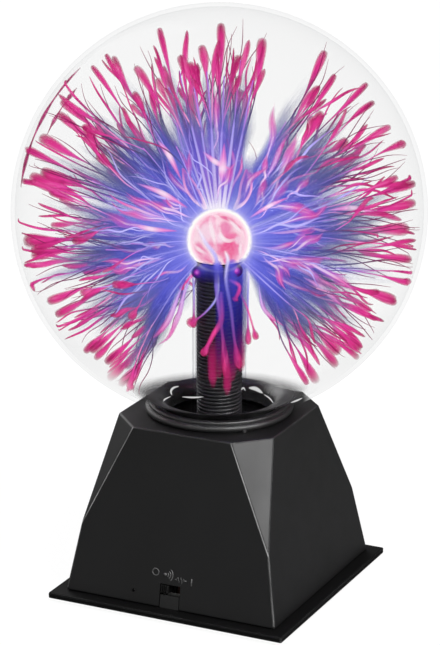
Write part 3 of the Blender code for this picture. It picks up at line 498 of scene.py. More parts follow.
def make_globe():
    centre, lean = sphere_fillet(GLOBE_RADIUS, NECK_RADIUS, NECK_FILLET)
    bore, lip = NECK_RADIUS - GLASS_WALL, 0.6 * MM
    outside = arc((0, GLOBE.z), GLOBE_RADIUS, 90, lean, 60)
    outside += arc(centre, NECK_FILLET, 180 + lean, 180, 10)[1:]
    end = [(NECK_RADIUS, NECK_END + lip), (NECK_RADIUS - lip, NECK_END)]
    end += [(bore + lip, NECK_END), (bore, NECK_END + lip)]
    inside = arc(centre, NECK_FILLET + GLASS_WALL, 180, 180 + lean, 10)
    inside += arc((0, GLOBE.z), GLOBE_RADIUS - GLASS_WALL, lean, 90, 60)[1:]
    glass = clear_glass("blown_glass", (0.9735, 0.974, 0.974), (0.962, 0.964, 0.966), painted_backdrop=True)
    standing_for(turned("globe_shell", outside + end + inside, glass, 128), "globe_glass", "globe_glass")


# The inner side of the thick glass at the neck: distance from the axis, and height over the rim, in mm.
ROOT_CURVE = [(27.6, 1.2), (29.6, 3.0), (33.5, 4.4), (38.5, 5.8), (43.0, 7.2)]


def make_globe_root():
    """The glass is thicker where it turns into the neck. Over it lies a dark, streaked film that fades out away
    from the neck: a painted image of the black collar as the thick glass bends it into view.
    """
    inner_radius = GLOBE_RADIUS - GLASS_WALL - 0.3 * MM
    mouth = NECK_RADIUS - GLASS_WALL - 0.3 * MM
    outer_reach = (47, 44, 41, 38, 35, 32.5, 30.5)
    outer = [(r * MM, GLOBE.z - math.sqrt(inner_radius**2 - (r * MM) ** 2)) for r in outer_reach]
    inner = [(mouth, RIM - 7 * MM), (mouth - 0.6 * MM, RIM - 7 * MM), (mouth - 0.4 * MM, RIM - 2 * MM)]
    inner += [(r * MM, RIM + z * MM) for r, z in ROOT_CURVE]
    s = Shader("root_glass_painted_collar")
    away = s.vector("LENGTH", s.place((1, 1, 0)))
    depth = s.vector("DOT_PRODUCT", s.place((1, 1, 0)), s.add("NewGeometry", "Incoming"))
    spread = s.maths("ADD", away, s.times(s.maths("MINIMUM", depth, 0.0), -0.34))
    fade = s.level(s.maths("DIVIDE", spread, 50 * MM), [(0.64, 1.0), (0.92, 0.0)], smooth=True)
    amount = s.times(s.level(s.facing(), [(0.0, 0.6), (0.5, 0.7), (0.85, 0.9)]), fade)
    streaks = s.level(s.noise(60, 3, vector=s.place((1, 1, 3))), [(0.35, 0.0), (0.65, 1.0)])
    # Painted reflection: near-black, streaked colour standing for the black collar seen through the glass,
    # denser where it is seen edge on.
    base = s.blend(streaks, (0.008, 0.008, 0.008), (0.06, 0.06, 0.06))
    dark = s.add("BsdfPrincipled", base_color=base, roughness=0.3, specular_ior_level=0.8)
    material = s.finish(s.over_clear(amount, dark))
    standing_for(turned("globe_root", outer + inner, material, 128, crease=60), "globe_glass")


# Half width in mm, and (right, up, near) in mm from the bulb's middle, as the camera sees them.
GLINTS = [
    (0.55, [(-20.0, -72.0, -21), (-22.7, -72.8, -21), (-24.0, -74.5, -21), (-23.5, -76.5, -21)]),
    (0.42, [(-18.4, -77.0, -13), (-13.0, -77.3, -13), (-7.8, -77.0, -13)]),
    (0.4, [(10.4, -74.5, -20), (11.9, -72.8, -20), (13.0, -74.3, -20)]),
    (1.0, [(14.6, -72.8, -21), (18.1, -73.3, -21), (21.6, -75.5, -21)]),
    (0.35, [(22.1, -76.0, -20), (25.0, -78.0, -19), (26.8, -80.4, -18)]),
    (0.35, [(-28.4, -80.4, -19), (-27.0, -78.5, -20), (-24.0, -77.0, -20)]),
    (0.45, [(40.5, -76.9, 4.3), (37.6, -78.2, 4.3), (34.8, -79.2, 4.3)]),
]


def make_glints():
    """Bright streaks of studio light caught in the curve of the glass round the neck."""
    streaks = Tubes(8)
    s = np.linspace(0, 1, 15)
    for width, points in GLINTS:
        colours = np.tile((0.86, 0.86, 0.86, 0.65), (len(s), 1))
        streaks.add(before_bulb(points).at(s), (0.1 + np.sin(math.pi * s) ** 0.7) * width * MM, colours)
    glowing(streaks.make("neck_glints", soft_glow("glint", 1.0, 0.95)))


def make_stem():
    """The inner glass, in two pieces: the tube with its flare, and the bulb that the discharge starts from."""
    flare = (22.0 * MM, NECK_END + 8.6 * MM)
    bend = flare[0] - STEM_RADIUS
    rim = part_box("electrode_stem")[0].z
    inner_radius = BULB_RADIUS - STEM_WALL
    join = math.degrees(math.asin(STEM_RADIUS / BULB_RADIUS)) - 90
    inner_join = math.degrees(math.asin((STEM_RADIUS - STEM_WALL) / inner_radius)) - 90
    shell = arc((0, BULB.z), BULB_RADIUS, 90, join, 28)
    lining = arc((0, BULB.z), inner_radius, inner_join, 90, 28)

    glass = clear_glass("stem_glass", (0.95, 0.95, 0.955), (0.55, 0.56, 0.6))
    outside = [shell[-1], *arc(flare, bend, 180, 270, 16), (NECK_RADIUS, rim + GLASS_WALL), (NECK_RADIUS, rim)]
    inside = [*arc(flare, bend + STEM_WALL, 270, 180, 16), lining[0]]
    standing_for(turned("stem_tube", outside + inside, glass, 72), "stem_glass", "electrode_stem")
    standing_for(turned("electrode_bulb", shell + lining, bulb_glow(), 72), "stem_glass")


def bulb_glow():
    """Glass lit white-hot where it is seen edge on, and clear in the middle."""
    s = Shader("bulb_glow")
    facing = s.facing()
    amount = s.level(facing, [(0.0, 0.02), (0.36, 0.06), (0.46, 0.7), (0.56, 1.0), (1.0, 1.0)])
    away = s.vector("LENGTH", s.place(move=tuple(-BULB)))
    amount = s.times(amount, s.maths("GREATER_THAN", away, BULB_RADIUS - 0.5 * STEM_WALL))
    colour = s.ramp(facing, [(0.42, "fbc8de"), (0.52, "ffe2ec"), (0.64, "fffdf6")])
    return s.finish(s.over_clear(amount, s.add("Emission", color=colour, strength=1.1)))


# Right, up and size in mm as the camera sees the bulb, and the colour.
WOOL_PATCHES = [
    (-6, 4, 6.5, "f8dcec"),
    (4.6, -5, 6.4, "ea3c86"),
    (3.2, 6.0, 4.4, "e664a4"),
    (-10.0, -4.0, 4.2, "ea70a6"),
    (0.5, 0.5, 3.0, "f9e0f0"),
    (9.0, 0.0, 2.6, "f6d0e4"),
]


def wool_glow():
    """Steel wool soaked in pink light: rose patches, pale streaks that swirl across it, and a lit rim."""
    s = Shader("wool_glow")
    where = s.place(move=(0, 0, -BULB.z))
    warp = s.add("TexNoise", "Color", vector=where, scale=60.0, detail=2.0)
    shifted = s.vector("MULTIPLY_ADD", warp, (0.02, 0.02, 0.02), where)
    patches = s.noise(58, 2, vector=shifted)
    rose = s.ramp(patches, [(0.4, "e85c98"), (0.48, "ee80b0"), (0.56, "f6b0ce"), (0.66, "fad0e4")])
    streaks = s.bands("DIAGONAL", vector=shifted, scale=24.0, distortion=4.0, detail=1.5)
    colour = s.blend(s.level(streaks, [(0.78, 0.0), (0.96, 0.7)]), rose, "fff0f6")
    colour = s.blend(s.level(s.facing(), [(0.45, 0.0), (0.7, 0.7)]), colour, "ffe4ee")
    for right, up, size, patch in WOOL_PATCHES:
        near = math.sqrt(max(13.6**2 - right**2 - up**2, 0))
        apart = s.vector("DISTANCE", where, tuple(MM * seen_from_front(right, up, near)))
        uneven = s.times(s.maths("SUBTRACT", s.noise(330, 2), 0.5), 0.5)
        spread = s.maths("ADD", s.maths("DIVIDE", apart, size * MM), uneven)
        colour = s.blend(s.level(spread, [(0.45, 0.85), (1.0, 0.0)]), colour, patch)
    colour = s.blend(s.level(s.noise(1400, 3), [(0.4, 0.0), (0.7, 0.14)]), colour, "ffffff")
    lit = {"emission_color": colour, "emission_strength": 0.98}
    return s.surface(base_color="3a1c26", roughness=0.6, specular_ior_level=0.1, **lit)


def make_wool():
    """A matted ball of wool with tufts, inside the bulb."""
    bm = bmesh.new()
    bmesh.ops.create_icosphere(bm, subdivisions=5, radius=WOOL_RADIUS)
    for vert in bm.verts:
        way = vert.co.normalized()
        tuft = math.sin(9 * way.x + 2) * math.sin(8 * way.y) * math.sin(10 * way.z + 1)
        fibre = math.sin(41 * way.x + 17 * way.z) * math.sin(37 * way.y - 23 * way.x)
        vert.co = way * (WOOL_RADIUS - 0.35 * MM * (1 + tuft) - 0.12 * MM * fibre)
        vert.co.z = max(vert.co.z, -WOOL_FLAT - 0.3 * MM * tuft)
        vert.co += BULB
    mesh = bpy.data.meshes.new("wool_core")
    bm.to_mesh(mesh)
    bm.free()
    standing_for(new_object("wool_core", mesh, wool_glow()), "steel_wool", "contact_wool")


def make_column():
    """The dark close-wound coil inside the stem."""
    low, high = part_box("electrode_coil")[0].z, BULB.z - WOOL_FLAT
    turns = (high - low - 2 * COIL_WIRE) / COIL_PITCH
    angle = np.linspace(0, 2 * math.pi * turns, int(turns * 40))
    rise = low + COIL_WIRE + COIL_PITCH * angle / (2 * math.pi)
    coil = Tubes(8)
    coil.plain(np.stack([COIL_RADIUS * np.cos(angle), COIL_RADIUS * np.sin(angle), rise], axis=1), COIL_WIRE)
    s = Shader("blackened_wire")
    drawn = s.noise(500, 2, vector=s.place((1, 1, 6)))
    base = s.blend(drawn, (0.016, 0.016, 0.017), (0.045, 0.045, 0.047))
    rough = s.scaled(drawn, 0.15, 0.36)
    black = s.surface(base_color=base, roughness=rough, metallic=0.25, specular_ior_level=0.7)
    standing_for(coil.make("coil_winding", black), "coil_wire", "electrode_coil")


def make_collar():
    """The ring the globe sits in: a seat for the glass, an upper and a lower bead, and a key at its edge."""
    clearance = 0.4 * MM
    centre, lean = sphere_fillet(GLOBE_RADIUS, NECK_RADIUS, NECK_FILLET)
    bottom, spigot_end = ROOF + 0.3 * MM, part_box("collar_ring")[0].z
    spigot, inner = NECK_RADIUS + 2.2 * MM, NECK_RADIUS + clearance
    lip_lean = -math.degrees(math.acos(33.6 * MM / GLOBE_RADIUS))
    seat = arc(centre, NECK_FILLET - clearance, 180, 180 + lean, 8)
    seat += arc((0, GLOBE.z), GLOBE_RADIUS + clearance, lean, lip_lean, 5)[1:]
    upper = arc((34.3 * MM, ROOF + 4.4 * MM), 1.0 * MM, 80, -35, 10)
    lower = arc((COLLAR_RADIUS - 1.7 * MM, ROOF + 1.95 * MM), 1.7 * MM, 75, -25, 14)
    foot = [(COLLAR_RADIUS - 0.9 * MM, bottom), (spigot, bottom), (spigot, spigot_end), (inner, spigot_end)]
    plastic = moulded_plastic("collar_plastic", "141414", "1b1b1c", 0.44, 0.35, specular=1.0)
    collar = turned("collar_moulding", seat + upper + lower + foot, plastic, 128, crease=50)
    standing_for(collar, "collar_plastic", "collar_ring")

    turn, size, edge = math.radians(-45), 1.3 * MM, 0.4 * MM
    pip = [(0, size), (size - edge, size), (size, size - edge), (size, 0), (0, 0)]
    at_rim = Vector((COLLAR_RADIUS * math.cos(turn), COLLAR_RADIUS * math.sin(turn), bottom))
    standing_for(turned("collar_key", pip, plastic, 24, at=at_rim), "collar_plastic")


# ---------------------------------------------------------------- the discharge


def ramp(stops, s):
    """Colours along a line: stops are (position, screen colour, opacity)."""
    at = [stop[0] for stop in stops]
    rows = np.array([(*linear(stop[1]), stop[2]) for stop in stops])
    return np.stack([np.interp(s, at, rows[:, i]) for i in range(4)], axis=1)


GLASS_LIMIT = GLOBE_RADIUS - GLASS_WALL - 1.6 * MM


def inside_glass(path):
    """Points kept just inside the globe, so that a streamer which reaches it runs along the glass."""
    from_globe = path - GLOBE_AT
    length = np.linalg.norm(from_globe, axis=1)[:, None]
    return GLOBE_AT + from_globe * np.minimum(1, GLASS_LIMIT / length)


def reach_to_glass(direction):
    """How far the glass is from the middle of the bulb in this direction."""
    offset = BULB.z - GLOBE.z
    along = direction[2] * offset
    return -along + math.sqrt(along**2 - offset**2 + GLASS_LIMIT**2)


def unit(vector):
    return vector / np.linalg.norm(vector)


def across(random, direction):
    """A random unit vector at right angles to the direction."""
    return unit(np.cross(direction, random.normal(size=3)))


def smooth(s):
    s = np.clip(s, 0, 1)
    return s * s * (3 - 2 * s)


ROOT_LOW = math.radians(-30)  # streamers leave the bulb above this slope, clear of the stem, then bend down


class Streamer:
    """A path from the bulb outwards that drifts slowly sideways. A fork leaves its trunk part of the way."""

    def __init__(self, random, direction, reach, wander, trunk=None, fork_at=0.0, spread=0.0):
        self.direction, self.reach, self.trunk, self.fork_at = direction, reach, trunk, fork_at
        slope = max(math.asin(direction[2]), ROOT_LOW)
        flat = unit(direction * (1, 1, 0)) * math.cos(slope)
        self.root = np.array((flat[0], flat[1], math.sin(slope)))
        side = across(random, direction)
        self.sides = np.stack([side, np.cross(direction, side)])
        self.waves = random.uniform((0.4, 0, 0.3), (0.9, 2 * math.pi, 1.0), size=(2, 3, 3))
        self.wander = wander
        self.spread = across(random, direction) * spread

    def sway(self, s):
        total = np.zeros((len(s), 3))
        for axis, waves in zip(self.sides, self.waves):
            for k, (stretch, phase, size) in enumerate(waves, 1):
                wave = np.sin(2 * math.pi * k * stretch * s + phase) - math.sin(phase)
                total += np.outer(wave * size / k**1.8, axis)
        return total * self.wander

    def free(self, s):
        near = self.root @ NEAR
        start = BULB_RADIUS * (0.97 if near < 0 else max(0.97, 1.0 / math.sqrt(1 - near**2)))
        if self.trunk is None:
            along = start + (self.reach - start) * s
            bend = smooth(1.5 * s)[:, None]
            way = self.root * (1 - bend) + self.direction * bend
            way /= np.linalg.norm(way, axis=1)[:, None]
            return BULB_AT + along[:, None] * way + self.sway(s) * (s**1.1)[:, None]
        leave = np.clip((s - self.fork_at) / (1 - self.fork_at), 0, 1)
        longer = (self.reach - self.trunk.reach) * leave
        path = self.trunk.free(s) + np.outer(longer, self.direction) + np.outer(leave**1.25, self.spread)
        return path + self.sway(leave) * (leave**1.1)[:, None]

    def at(self, s):
        return inside_glass(self.free(np.asarray(s, float)))


def sphere_directions(random, count):
    """Directions spread evenly over the sphere, a little out of order."""
    golden = math.pi * (3 - math.sqrt(5))
    for i in range(count):
        z = 1 - 2 * (i + 0.5) / count
        r = math.sqrt(1 - z * z)
        way = np.array((r * math.cos(golden * i), r * math.sin(golden * i), z))
        yield unit(way + random.normal(scale=0.08, size=3))


def ring_directions(random, count):
    """Directions spread evenly round the outline that the camera sees."""
    for i in range(count):
        lean = 2 * math.pi * (i + random.uniform(-0.3, 0.3)) / count
        depth = random.uniform(-0.4, 0.4)
        yield unit(seen_from_front(math.cos(lean), math.sin(lean), depth))


def seen_from_front(right, up, near):
    """A vector from its parts to the camera's right, upwards and towards it."""
    return RIGHT * right + UP * up + NEAR * near


GAP_LEAN = math.radians(68)  # the open wedge, up from the camera's right
GAP_HALF = math.radians(6)
LOWEST = -0.86  # how far down streamers go, as a sine
SKIRT_LEFT = math.radians(31)  # the empty sector under the bulb, as the camera sees it, left of straight down
SKIRT_RIGHT = math.radians(37)  # and right of it


def seen_lean(direction):
    """The direction's angle as the camera sees it, from its right."""
    return math.atan2(direction @ UP, direction @ RIGHT)


def in_gap(direction):
    return abs(seen_lean(direction) - GAP_LEAN) < GAP_HALF


def in_skirt(direction, less=0.0):
    aside = seen_lean(direction) + math.pi / 2
    return abs(aside) < (SKIRT_RIGHT if aside > 0 else SKIRT_LEFT) - less


def wanted(direction):
    """False for the wedge and the sector that the discharge leaves open, and straight in front of the bulb."""
    if direction[2] < LOWEST or direction @ NEAR > 0.74 or in_gap(direction):
        return False
    return not in_skirt(direction)


def in_crown(direction):
    """The sector in front of the rays that rise from the bulb's top."""
    return direction @ NEAR > 0.25 and abs(seen_lean(direction) - math.pi / 2) < math.radians(15)


def astray(streamer):
    """Whether a fork has drifted across the open wedge or well into the empty sector under the bulb."""
    tip = unit(streamer.at([1.0])[0] - BULB_AT)
    return in_gap(tip) or in_skirt(tip, math.radians(7))


SEED = 11
TRUNKS, OUTLINE_TRUNKS, EMBERS, ARCS = 170, 54, 150, 80

# Colours along a line, as (position, screen colour, opacity).
CORE = [
    (0.0, "c4bcff", 0.35), (0.08, "aca6fc", 0.55), (0.25, "b8b2ff", 0.8), (0.42, "ad9ffc", 0.8),
    (0.58, "c47ee2", 0.8), (0.72, "de5ab0", 0.85), (1.0, "d23c84", 0.8),
]
DARK = [
    (0.0, "8f8ae8", 0.5), (0.35, "4c4a9e", 0.65), (0.6, "45426f", 0.75), (0.8, "6d2350", 0.8),
    (1.0, "9a2c5c", 0.6),
]
TAIL = [
    (0.0, "6f6ad0", 0.3), (0.4, "4a4488", 0.6), (0.62, "4a3560", 0.8), (0.8, "7a2456", 0.85),
    (1.0, "8a2450", 0.7),
]
VEIL = [
    (0.0, "9698ff", 0.35), (0.1, "7c7ef2", 0.42), (0.3, "6769de", 0.42), (0.48, "5c5ed0", 0.4),
    (0.6, "6d6fbc", 0.32), (0.74, "8a88ad", 0.2), (0.88, "aca6c2", 0.0), (1.0, "aca6c2", 0.0),
]
DEEP_VEIL = [
    (0.0, "8486ff", 0.3), (0.12, "5c60de", 0.42), (0.35, "4448b6", 0.5), (0.52, "3a3e7a", 0.5),
    (0.66, "555970", 0.4), (0.8, "787a86", 0.2), (0.92, "8f90a4", 0.0), (1.0, "8f90a4", 0.0),
]
CROWN_VEIL = [
    (0.0, "b890f4", 0.35), (0.15, "9a6ce0", 0.55), (0.4, "8464d8", 0.5), (0.6, "8278cc", 0.35),
    (0.8, "9a98c0", 0.15), (0.86, "a8a8c4", 0.0), (1.0, "a8a8c4", 0.0),
]
STUB = [(0.0, "9a9cff", 0.4), (0.3, "6c6ee0", 0.5), (0.75, "565acc", 0.5), (1.0, "5a5cb8", 0.0)]
FOG = [
    (0.0, "6c6ea8", 0.0), (0.35, "6c6ea8", 0.0), (0.5, "5c5e86", 0.3), (0.7, "6c6e82", 0.3),
    (0.85, "a0a0b0", 0.1), (0.92, "b4b4be", 0.0), (1.0, "b4b4be", 0.0),
]
FLARE = [
    (0.4, "8a74e0", 0.0), (0.55, "b664d8", 0.5), (0.68, "dc52b0", 0.85), (0.82, "e8409e", 1.0),
    (0.94, "dc3688", 1.0), (1.0, "b42a66", 0.7),
]
EMBER = [
    (0.0, "8f86f8", 0.0), (0.25, "a478ec", 0.4), (0.5, "cc68d4", 0.6), (0.75, "dc4cac", 0.65),
    (1.0, "a83c9c", 0.0),
]
LILAC = [(0.0, "a9a4ff", 0.0), (0.2, "c9c4ff", 0.75), (0.6, "beb4ff", 0.8), (1.0, "b08cf0", 0.0)]
HOT = [
    (0.0, "b8a8ff", 0.0), (0.3, "f6c4f4", 0.9), (0.55, "fff0fa", 0.95), (0.75, "ff9cd6", 0.9),
    (1.0, "e860b4", 0.0),
]
HOT_FORK = [(0.4, "c9a0ff", 0.0), (0.55, "ffb0e0", 0.9), (0.75, "ff86c4", 0.8), (0.85, "ff60ac", 0.0)]
CROWN_RAY = [(0.0, "fffaff", 1.0), (0.2, "e2d6ff", 0.95), (0.45, "b0a4fa", 0.85), (0.85, "b466da", 0.75)]
STRAND = [
    (0.0, "8a2450", 0.3), (0.1, "a42c64", 0.9), (0.5, "b03070", 0.9), (0.9, "a42c64", 0.9),
    (1.0, "8a2450", 0.2),
]
BLAZE = [
    (0.0, "e86cd0", 0.0), (0.3, "f890e0", 0.6), (0.5, "ffe6fa", 0.9), (0.7, "f890e0", 0.6),
    (1.0, "e86cd0", 0.0),
]
PETAL_EDGE = [(0.0, "fff0fc", 0.9), (0.4, "f8c0ec", 0.85), (1.0, "e070c0", 0.7)]
PETAL_FILL = [(0.0, "c88cf0", 0.3), (0.4, "7c4cc8", 0.7), (0.8, "8c48b8", 0.7), (1.0, "c050a8", 0.4)]
DRIP = [
    (0.0, "fff6fc", 0.1), (0.12, "f6ecff", 0.8), (0.3, "cfc6ff", 0.8), (0.5, "a49cfa", 0.8),
    (0.75, "b86cd0", 0.8), (1.0, "d84890", 0.8),
]
PINK_DRIP = [(0.0, "b478e8", 0.3), (0.3, "f060b4", 0.9), (0.6, "f4489c", 0.9), (1.0, "d43a86", 0.8)]
DRIP_FLARE = [(0.6, "8a50d0", 0.0), (0.8, "c8449c", 0.7), (0.92, "e0408c", 1.0), (1.0, "c03068", 0.85)]
RIBBON = [(0.0, "fff0f6", 0.0), (0.3, "fff2f9", 0.6), (0.7, "fff2f9", 0.6), (1.0, "ffe0ec", 0.0)]
STEM_COLOURS = [
    (0.0, "6462e4", 0.9), (0.12, "4a48c8", 0.9), (0.3, "2e2a9c", 0.85), (0.55, "241a78", 0.85),
    (0.8, "6c1a68", 0.7), (1.0, "b82466", 0.3),
]
STEM_PINK = [(0.0, "8a1c60", 0.0), (0.4, "a82060", 0.7), (0.8, "b82868", 0.7), (1.0, "b82868", 0.0)]
STEM_TOP = [(0.0, "5a58d4", 0.9), (0.35, "38369c", 0.8), (0.7, "241a64", 0.45), (1.0, "1a1444", 0.0)]

# The crown's rays: the lean in degrees from straight up, to the right, and the width in mm.
CROWN = [(-19, 0.7), (-14, 0.9), (-9.5, 0.6), (-4.5, 1.1), (0.5, 0.9), (7, 1.05), (12.5, 0.7)]
# Distance in from the glass in mm, the slopes at both ends in degrees, and where it swells and by how many mm.
STRANDS = [
    (0.5, 7, 46, [(0.2, 0.8), (0.55, 0.7), (0.85, 0.4)]),
    (6.0, 24, 41, [(0.3, 0.9), (0.8, 1.0)]),
]
# Degrees round from the camera's right, lean towards the camera, share of the way to the glass, and size in mm.
TIPS = [
    (120, 0.0, 0.97, 1.5), (127, 0.0, 0.97, 1.6), (106, 0.1, 0.96, 1.8), (89, 0.3, 0.95, 2.4),
    (78, 0.2, 0.9, 2.8), (61.5, 0.0, 0.96, 2.4), (54, 0.1, 0.9, 1.8), (46, 0.0, 0.98, 1.8),
    (33, 0.1, 0.95, 2.0), (-137, 0.1, 0.94, 2.2), (-156, 0.0, 0.96, 2.4), (16, 0.1, 0.98, 2.4),
    (8, 0.05, 0.98, 2.6), (3.5, 0.15, 0.94, 3.6), (-7, 0.0, 0.99, 2.4), (-17, 0.1, 0.98, 2.2),
    (-21, 0.15, 0.98, 2.6), (-35, 0.1, 0.97, 2.8), (-43, 0.2, 0.92, 3.2), (-48, 0.1, 0.96, 2.4),
    (-56, 0.0, 0.98, 2.6), (-58, 0.1, 0.96, 1.8), (-124, 0.1, 0.96, 2.2), (-131, 0.0, 0.94, 2.4),
    (-163, 0.1, 0.95, 2.6), (184, 0.1, 0.95, 3.2), (178, 0.1, 0.97, 3.8), (162, 0.0, 0.96, 3.0),
    (156, 0.1, 0.9, 3.2), (149, 0.0, 0.97, 3.2), (143, 0.1, 0.94, 2.4), (137, 0.0, 0.96, 2.2),
]
# Width in mm, and the points as (right, up, near) in mm from the bulb's middle.
BLAZES = [
    (1.9, [(1.0, 26, 30), (1.6, 34, 31), (2.4, 46, 32)]),
    (1.2, [(-8, 42, 30), (-2, 37, 31), (6, 33, 31)]),
    (1.3, [(-30, 48, 30), (-24, 40, 30), (-18, 28, 30)]),
    (1.2, [(-40, 27, 26), (-27, 22, 27), (-15, 15, 26)]),
    (1.1, [(-46, 8, 22), (-33, 5, 24), (-20, 4, 24)]),
    (0.9, [(14, 10, 26), (24, 16, 27), (33, 20, 27)]),
    (1.3, [(40, -18, 26), (50, -24, 27), (60, -33, 26)]),
    (1.2, [(52, 14, 24), (64, 15, 24), (76, 13, 22)]),
]
# The points of a petal's two sides.
PETALS = [
    (
        [(-6.5, 15, 14), (-12.5, 19.5, 17), (-16.5, 26, 21), (-17.5, 34, 24)],
        [(-6.5, 15, 14), (-8.5, 20.5, 17), (-12, 27, 21), (-17.5, 34, 24)],
    ),
    (
        [(7.5, 15, 14), (9.5, 20.5, 17), (10.5, 26.5, 21), (13, 33.5, 24)],
        [(7.5, 15, 14), (12.5, 18.5, 17), (15.5, 25.5, 21), (13, 33.5, 24)],
    ),
]
# From here on the points are round the stem, as (azimuth from the camera in degrees, distance from the axis in
# mm, height over the bulb's middle in mm). Before them come the widths at the start, middle and end, and the
# bead's size, in mm.
DRIPS = [
    (
        (0.9, 0.8, 0.4), 2.3,
        [(-60, 12.8, 9.6), (-25, 16, 3.2), (-5, 15.4, -5.2), (-5, 14.4, -21), (5, 14.3, -41), (15, 14.3, -66)],
    ),
    (
        (0.9, 0.7, 0.4), 2.3,
        [(10, 15.8, -1), (16, 15.2, -6), (13, 14.6, -16), (23, 14.5, -31), (30, 14.5, -46), (42, 14.6, -62)],
    ),
    ((0.4, 0.35, 0.25), 2.8, [(-2, 14.8, -11.5), (-4, 14.6, -24), (-28, 14.8, -33), (-68, 16, -41)]),
    ((0.9, 1.1, 0.6), 2.2, [(3, 14.6, -22), (4, 14.6, -36), (-12, 14.6, -44), (-33, 14.8, -55)]),
    ((0.4, 0.35, 0.3), 1.9, [(44, 14.8, -24), (66, 15.4, -34), (84, 18.4, -50)]),
    ((0.7, 0.8, 0.6), 1.8, [(20, 14.8, -16), (42, 14.8, -20.5), (30, 14.8, -27)]),
    ((0.6, 0.8, 0.5), 1.6, [(-46, 15.4, -12.4), (-62, 16.5, -17), (-84, 19, -24)]),
    ((0.5, 0.4, 0.3), 1.9, [(110, 16, -10), (118, 16, -30), (120, 16.6, -56)]),
    ((0.5, 0.4, 0.3), 2.2, [(165, 16, -10), (172, 16, -34), (170, 16.6, -68)]),
    ((0.5, 0.4, 0.3), 1.8, [(-120, 16, -10), (-128, 16, -28), (-130, 16.6, -48)]),
    ((0.5, 0.4, 0.3), 2.0, [(-160, 16, -10), (-150, 16, -30), (-152, 16.6, -60)]),
]
# Width in mm, and the points.
RIBBONS = [
    (1.5, [(-1, 11.6, 11.1), (4, 15, 6.1), (17, 15.7, 4.0), (38.6, 15.4, 4.7)]),
    (1.3, [(39.6, 15.8, 4), (42, 15.4, -1), (42, 15.1, -5.8)]),
    (1.5, [(-45, 5.6, 15), (-22, 11.5, 11), (-10, 15.2, 5.5), (-6, 16, 1)]),
    (1.3, [(-52, 15.8, 1), (-40, 15.8, -1), (-22, 15.6, -3)]),
    (1.2, [(25, 8, 13.8), (40, 12.6, 9.6), (48, 14.6, 6.2)]),
]
# Width in mm, opacity, colours, and the points.
STEM_GLOW = [
    (4.6, 1.0, STEM_TOP, [(-30, 14.6, -8.6), (-28, 14.6, -13), (-24, 14.5, -19)]),
    (4.6, 1.0, STEM_TOP, [(-4, 14.8, -8.6), (-6, 14.6, -13), (-8, 14.5, -19)]),
    (4.6, 0.85, STEM_COLOURS, [(26, 14.4, -7), (22, 14.4, -30), (24, 14.2, -50), (26, 14.2, -68)]),
    (3.4, 0.8, STEM_COLOURS, [(-4, 14.6, -7), (4, 14.4, -28), (4, 14.2, -46), (0, 14.2, -66)]),
    (3.5, 0.7, STEM_COLOURS, [(52, 14.4, -7), (50, 14.2, -36), (46, 14.2, -64)]),
    (2.6, 0.9, STEM_PINK, [(-12, 14.2, -46), (-14, 14.2, -58), (-12, 14.2, -72)]),
    (2.4, 0.9, STEM_PINK, [(14, 14.2, -54), (16, 14.2, -64), (16, 14.2, -76)]),
    (1.3, 0.8, STEM_PINK, [(62, 13, -46), (64, 13, -56), (64, 13, -66)]),
    (4.0, 0.5, STEM_COLOURS, [(150, 15, -12), (146, 15, -34), (150, 14.6, -62)]),
]


def fainter(stops, share):
    return [(position, colour, share * opacity) for position, colour, opacity in stops]


def swelling(s, start, peak, thin, thick, last):
    """A width that grows from thin at start to thick at the peak, and ends at last where s is 1."""
    up = smooth((s - start) / (peak - start)) ** 1.9
    down = np.clip((s - peak) / (1 - peak), 0, 1)
    return np.where(s <= peak, thin + (thick - thin) * up, last + (thick - last) * np.sqrt(1 - down**2))


def soft_glow(name, edge, strength=1.0, darker=0.0, streaks=0.0, fibres=0.0):
    """Light in the gas: colour and opacity come from the mesh, and it thins out towards its outline. Streaks
    break it into rays, the more the further out it is, and fibres draw dark lines along it."""
    s = Shader(name)
    glow = s.node("VertexColor", {"layer_name": "glow"})
    facing, colour = s.facing(), glow.outputs["Color"]
    from_bulb = s.place(move=tuple(-BULB))
    way = s.vector("NORMALIZE", from_bulb)
    if darker:
        rim = s.blend(1.0, colour, (0.6, 0.22, 0.42), "MULTIPLY")
        colour = s.blend(s.level(facing, [(0.1, 0.0), (0.7, darker)]), colour, rim)
    if fibres:
        fine = s.noise(34.0, 3, 0.6, vector=way)
        dark = s.blend(1.0, colour, (0.42, 0.16, 0.34), "MULTIPLY")
        colour = s.blend(s.level(fine, [(0.5, 0.0), (0.64, fibres)]), colour, dark)
        colour = s.blend(s.level(fine, [(0.34, 0.5 * fibres), (0.44, 0.0)]), colour, "ff8cc8")
    amount = s.times(s.maths("POWER", s.maths("SUBTRACT", 1.0, facing), edge), glow.outputs["Alpha"])
    if streaks:
        out = s.level(s.times(s.vector("LENGTH", from_bulb), 10), [(0.4, 0.0), (0.75, 0.85)])
        rays, lace = s.noise(9.0, 5, 0.62, vector=way), s.noise(26.0, 4, 0.6, vector=way)
        kept = s.level(rays, [(0.32, 1 - streaks), (0.62, 1.0)])
        gaps = s.maths("SUBTRACT", 1.0, s.times(out, s.level(lace, [(0.44, 1.0), (0.58, 0.0)])))
        amount = s.times(amount, s.times(kept, gaps))
        colour = s.blend(s.level(rays, [(0.4, 0.45), (0.6, 0.0)]), colour, "343aa4")
        glimmer = s.level(lace, [(0.56, 0.0), (0.66, 0.5)])
        colour = s.blend(s.times(glimmer, s.maths("SUBTRACT", 1.0, out)), colour, "9a9cff")
    return s.light(amount, colour, strength)


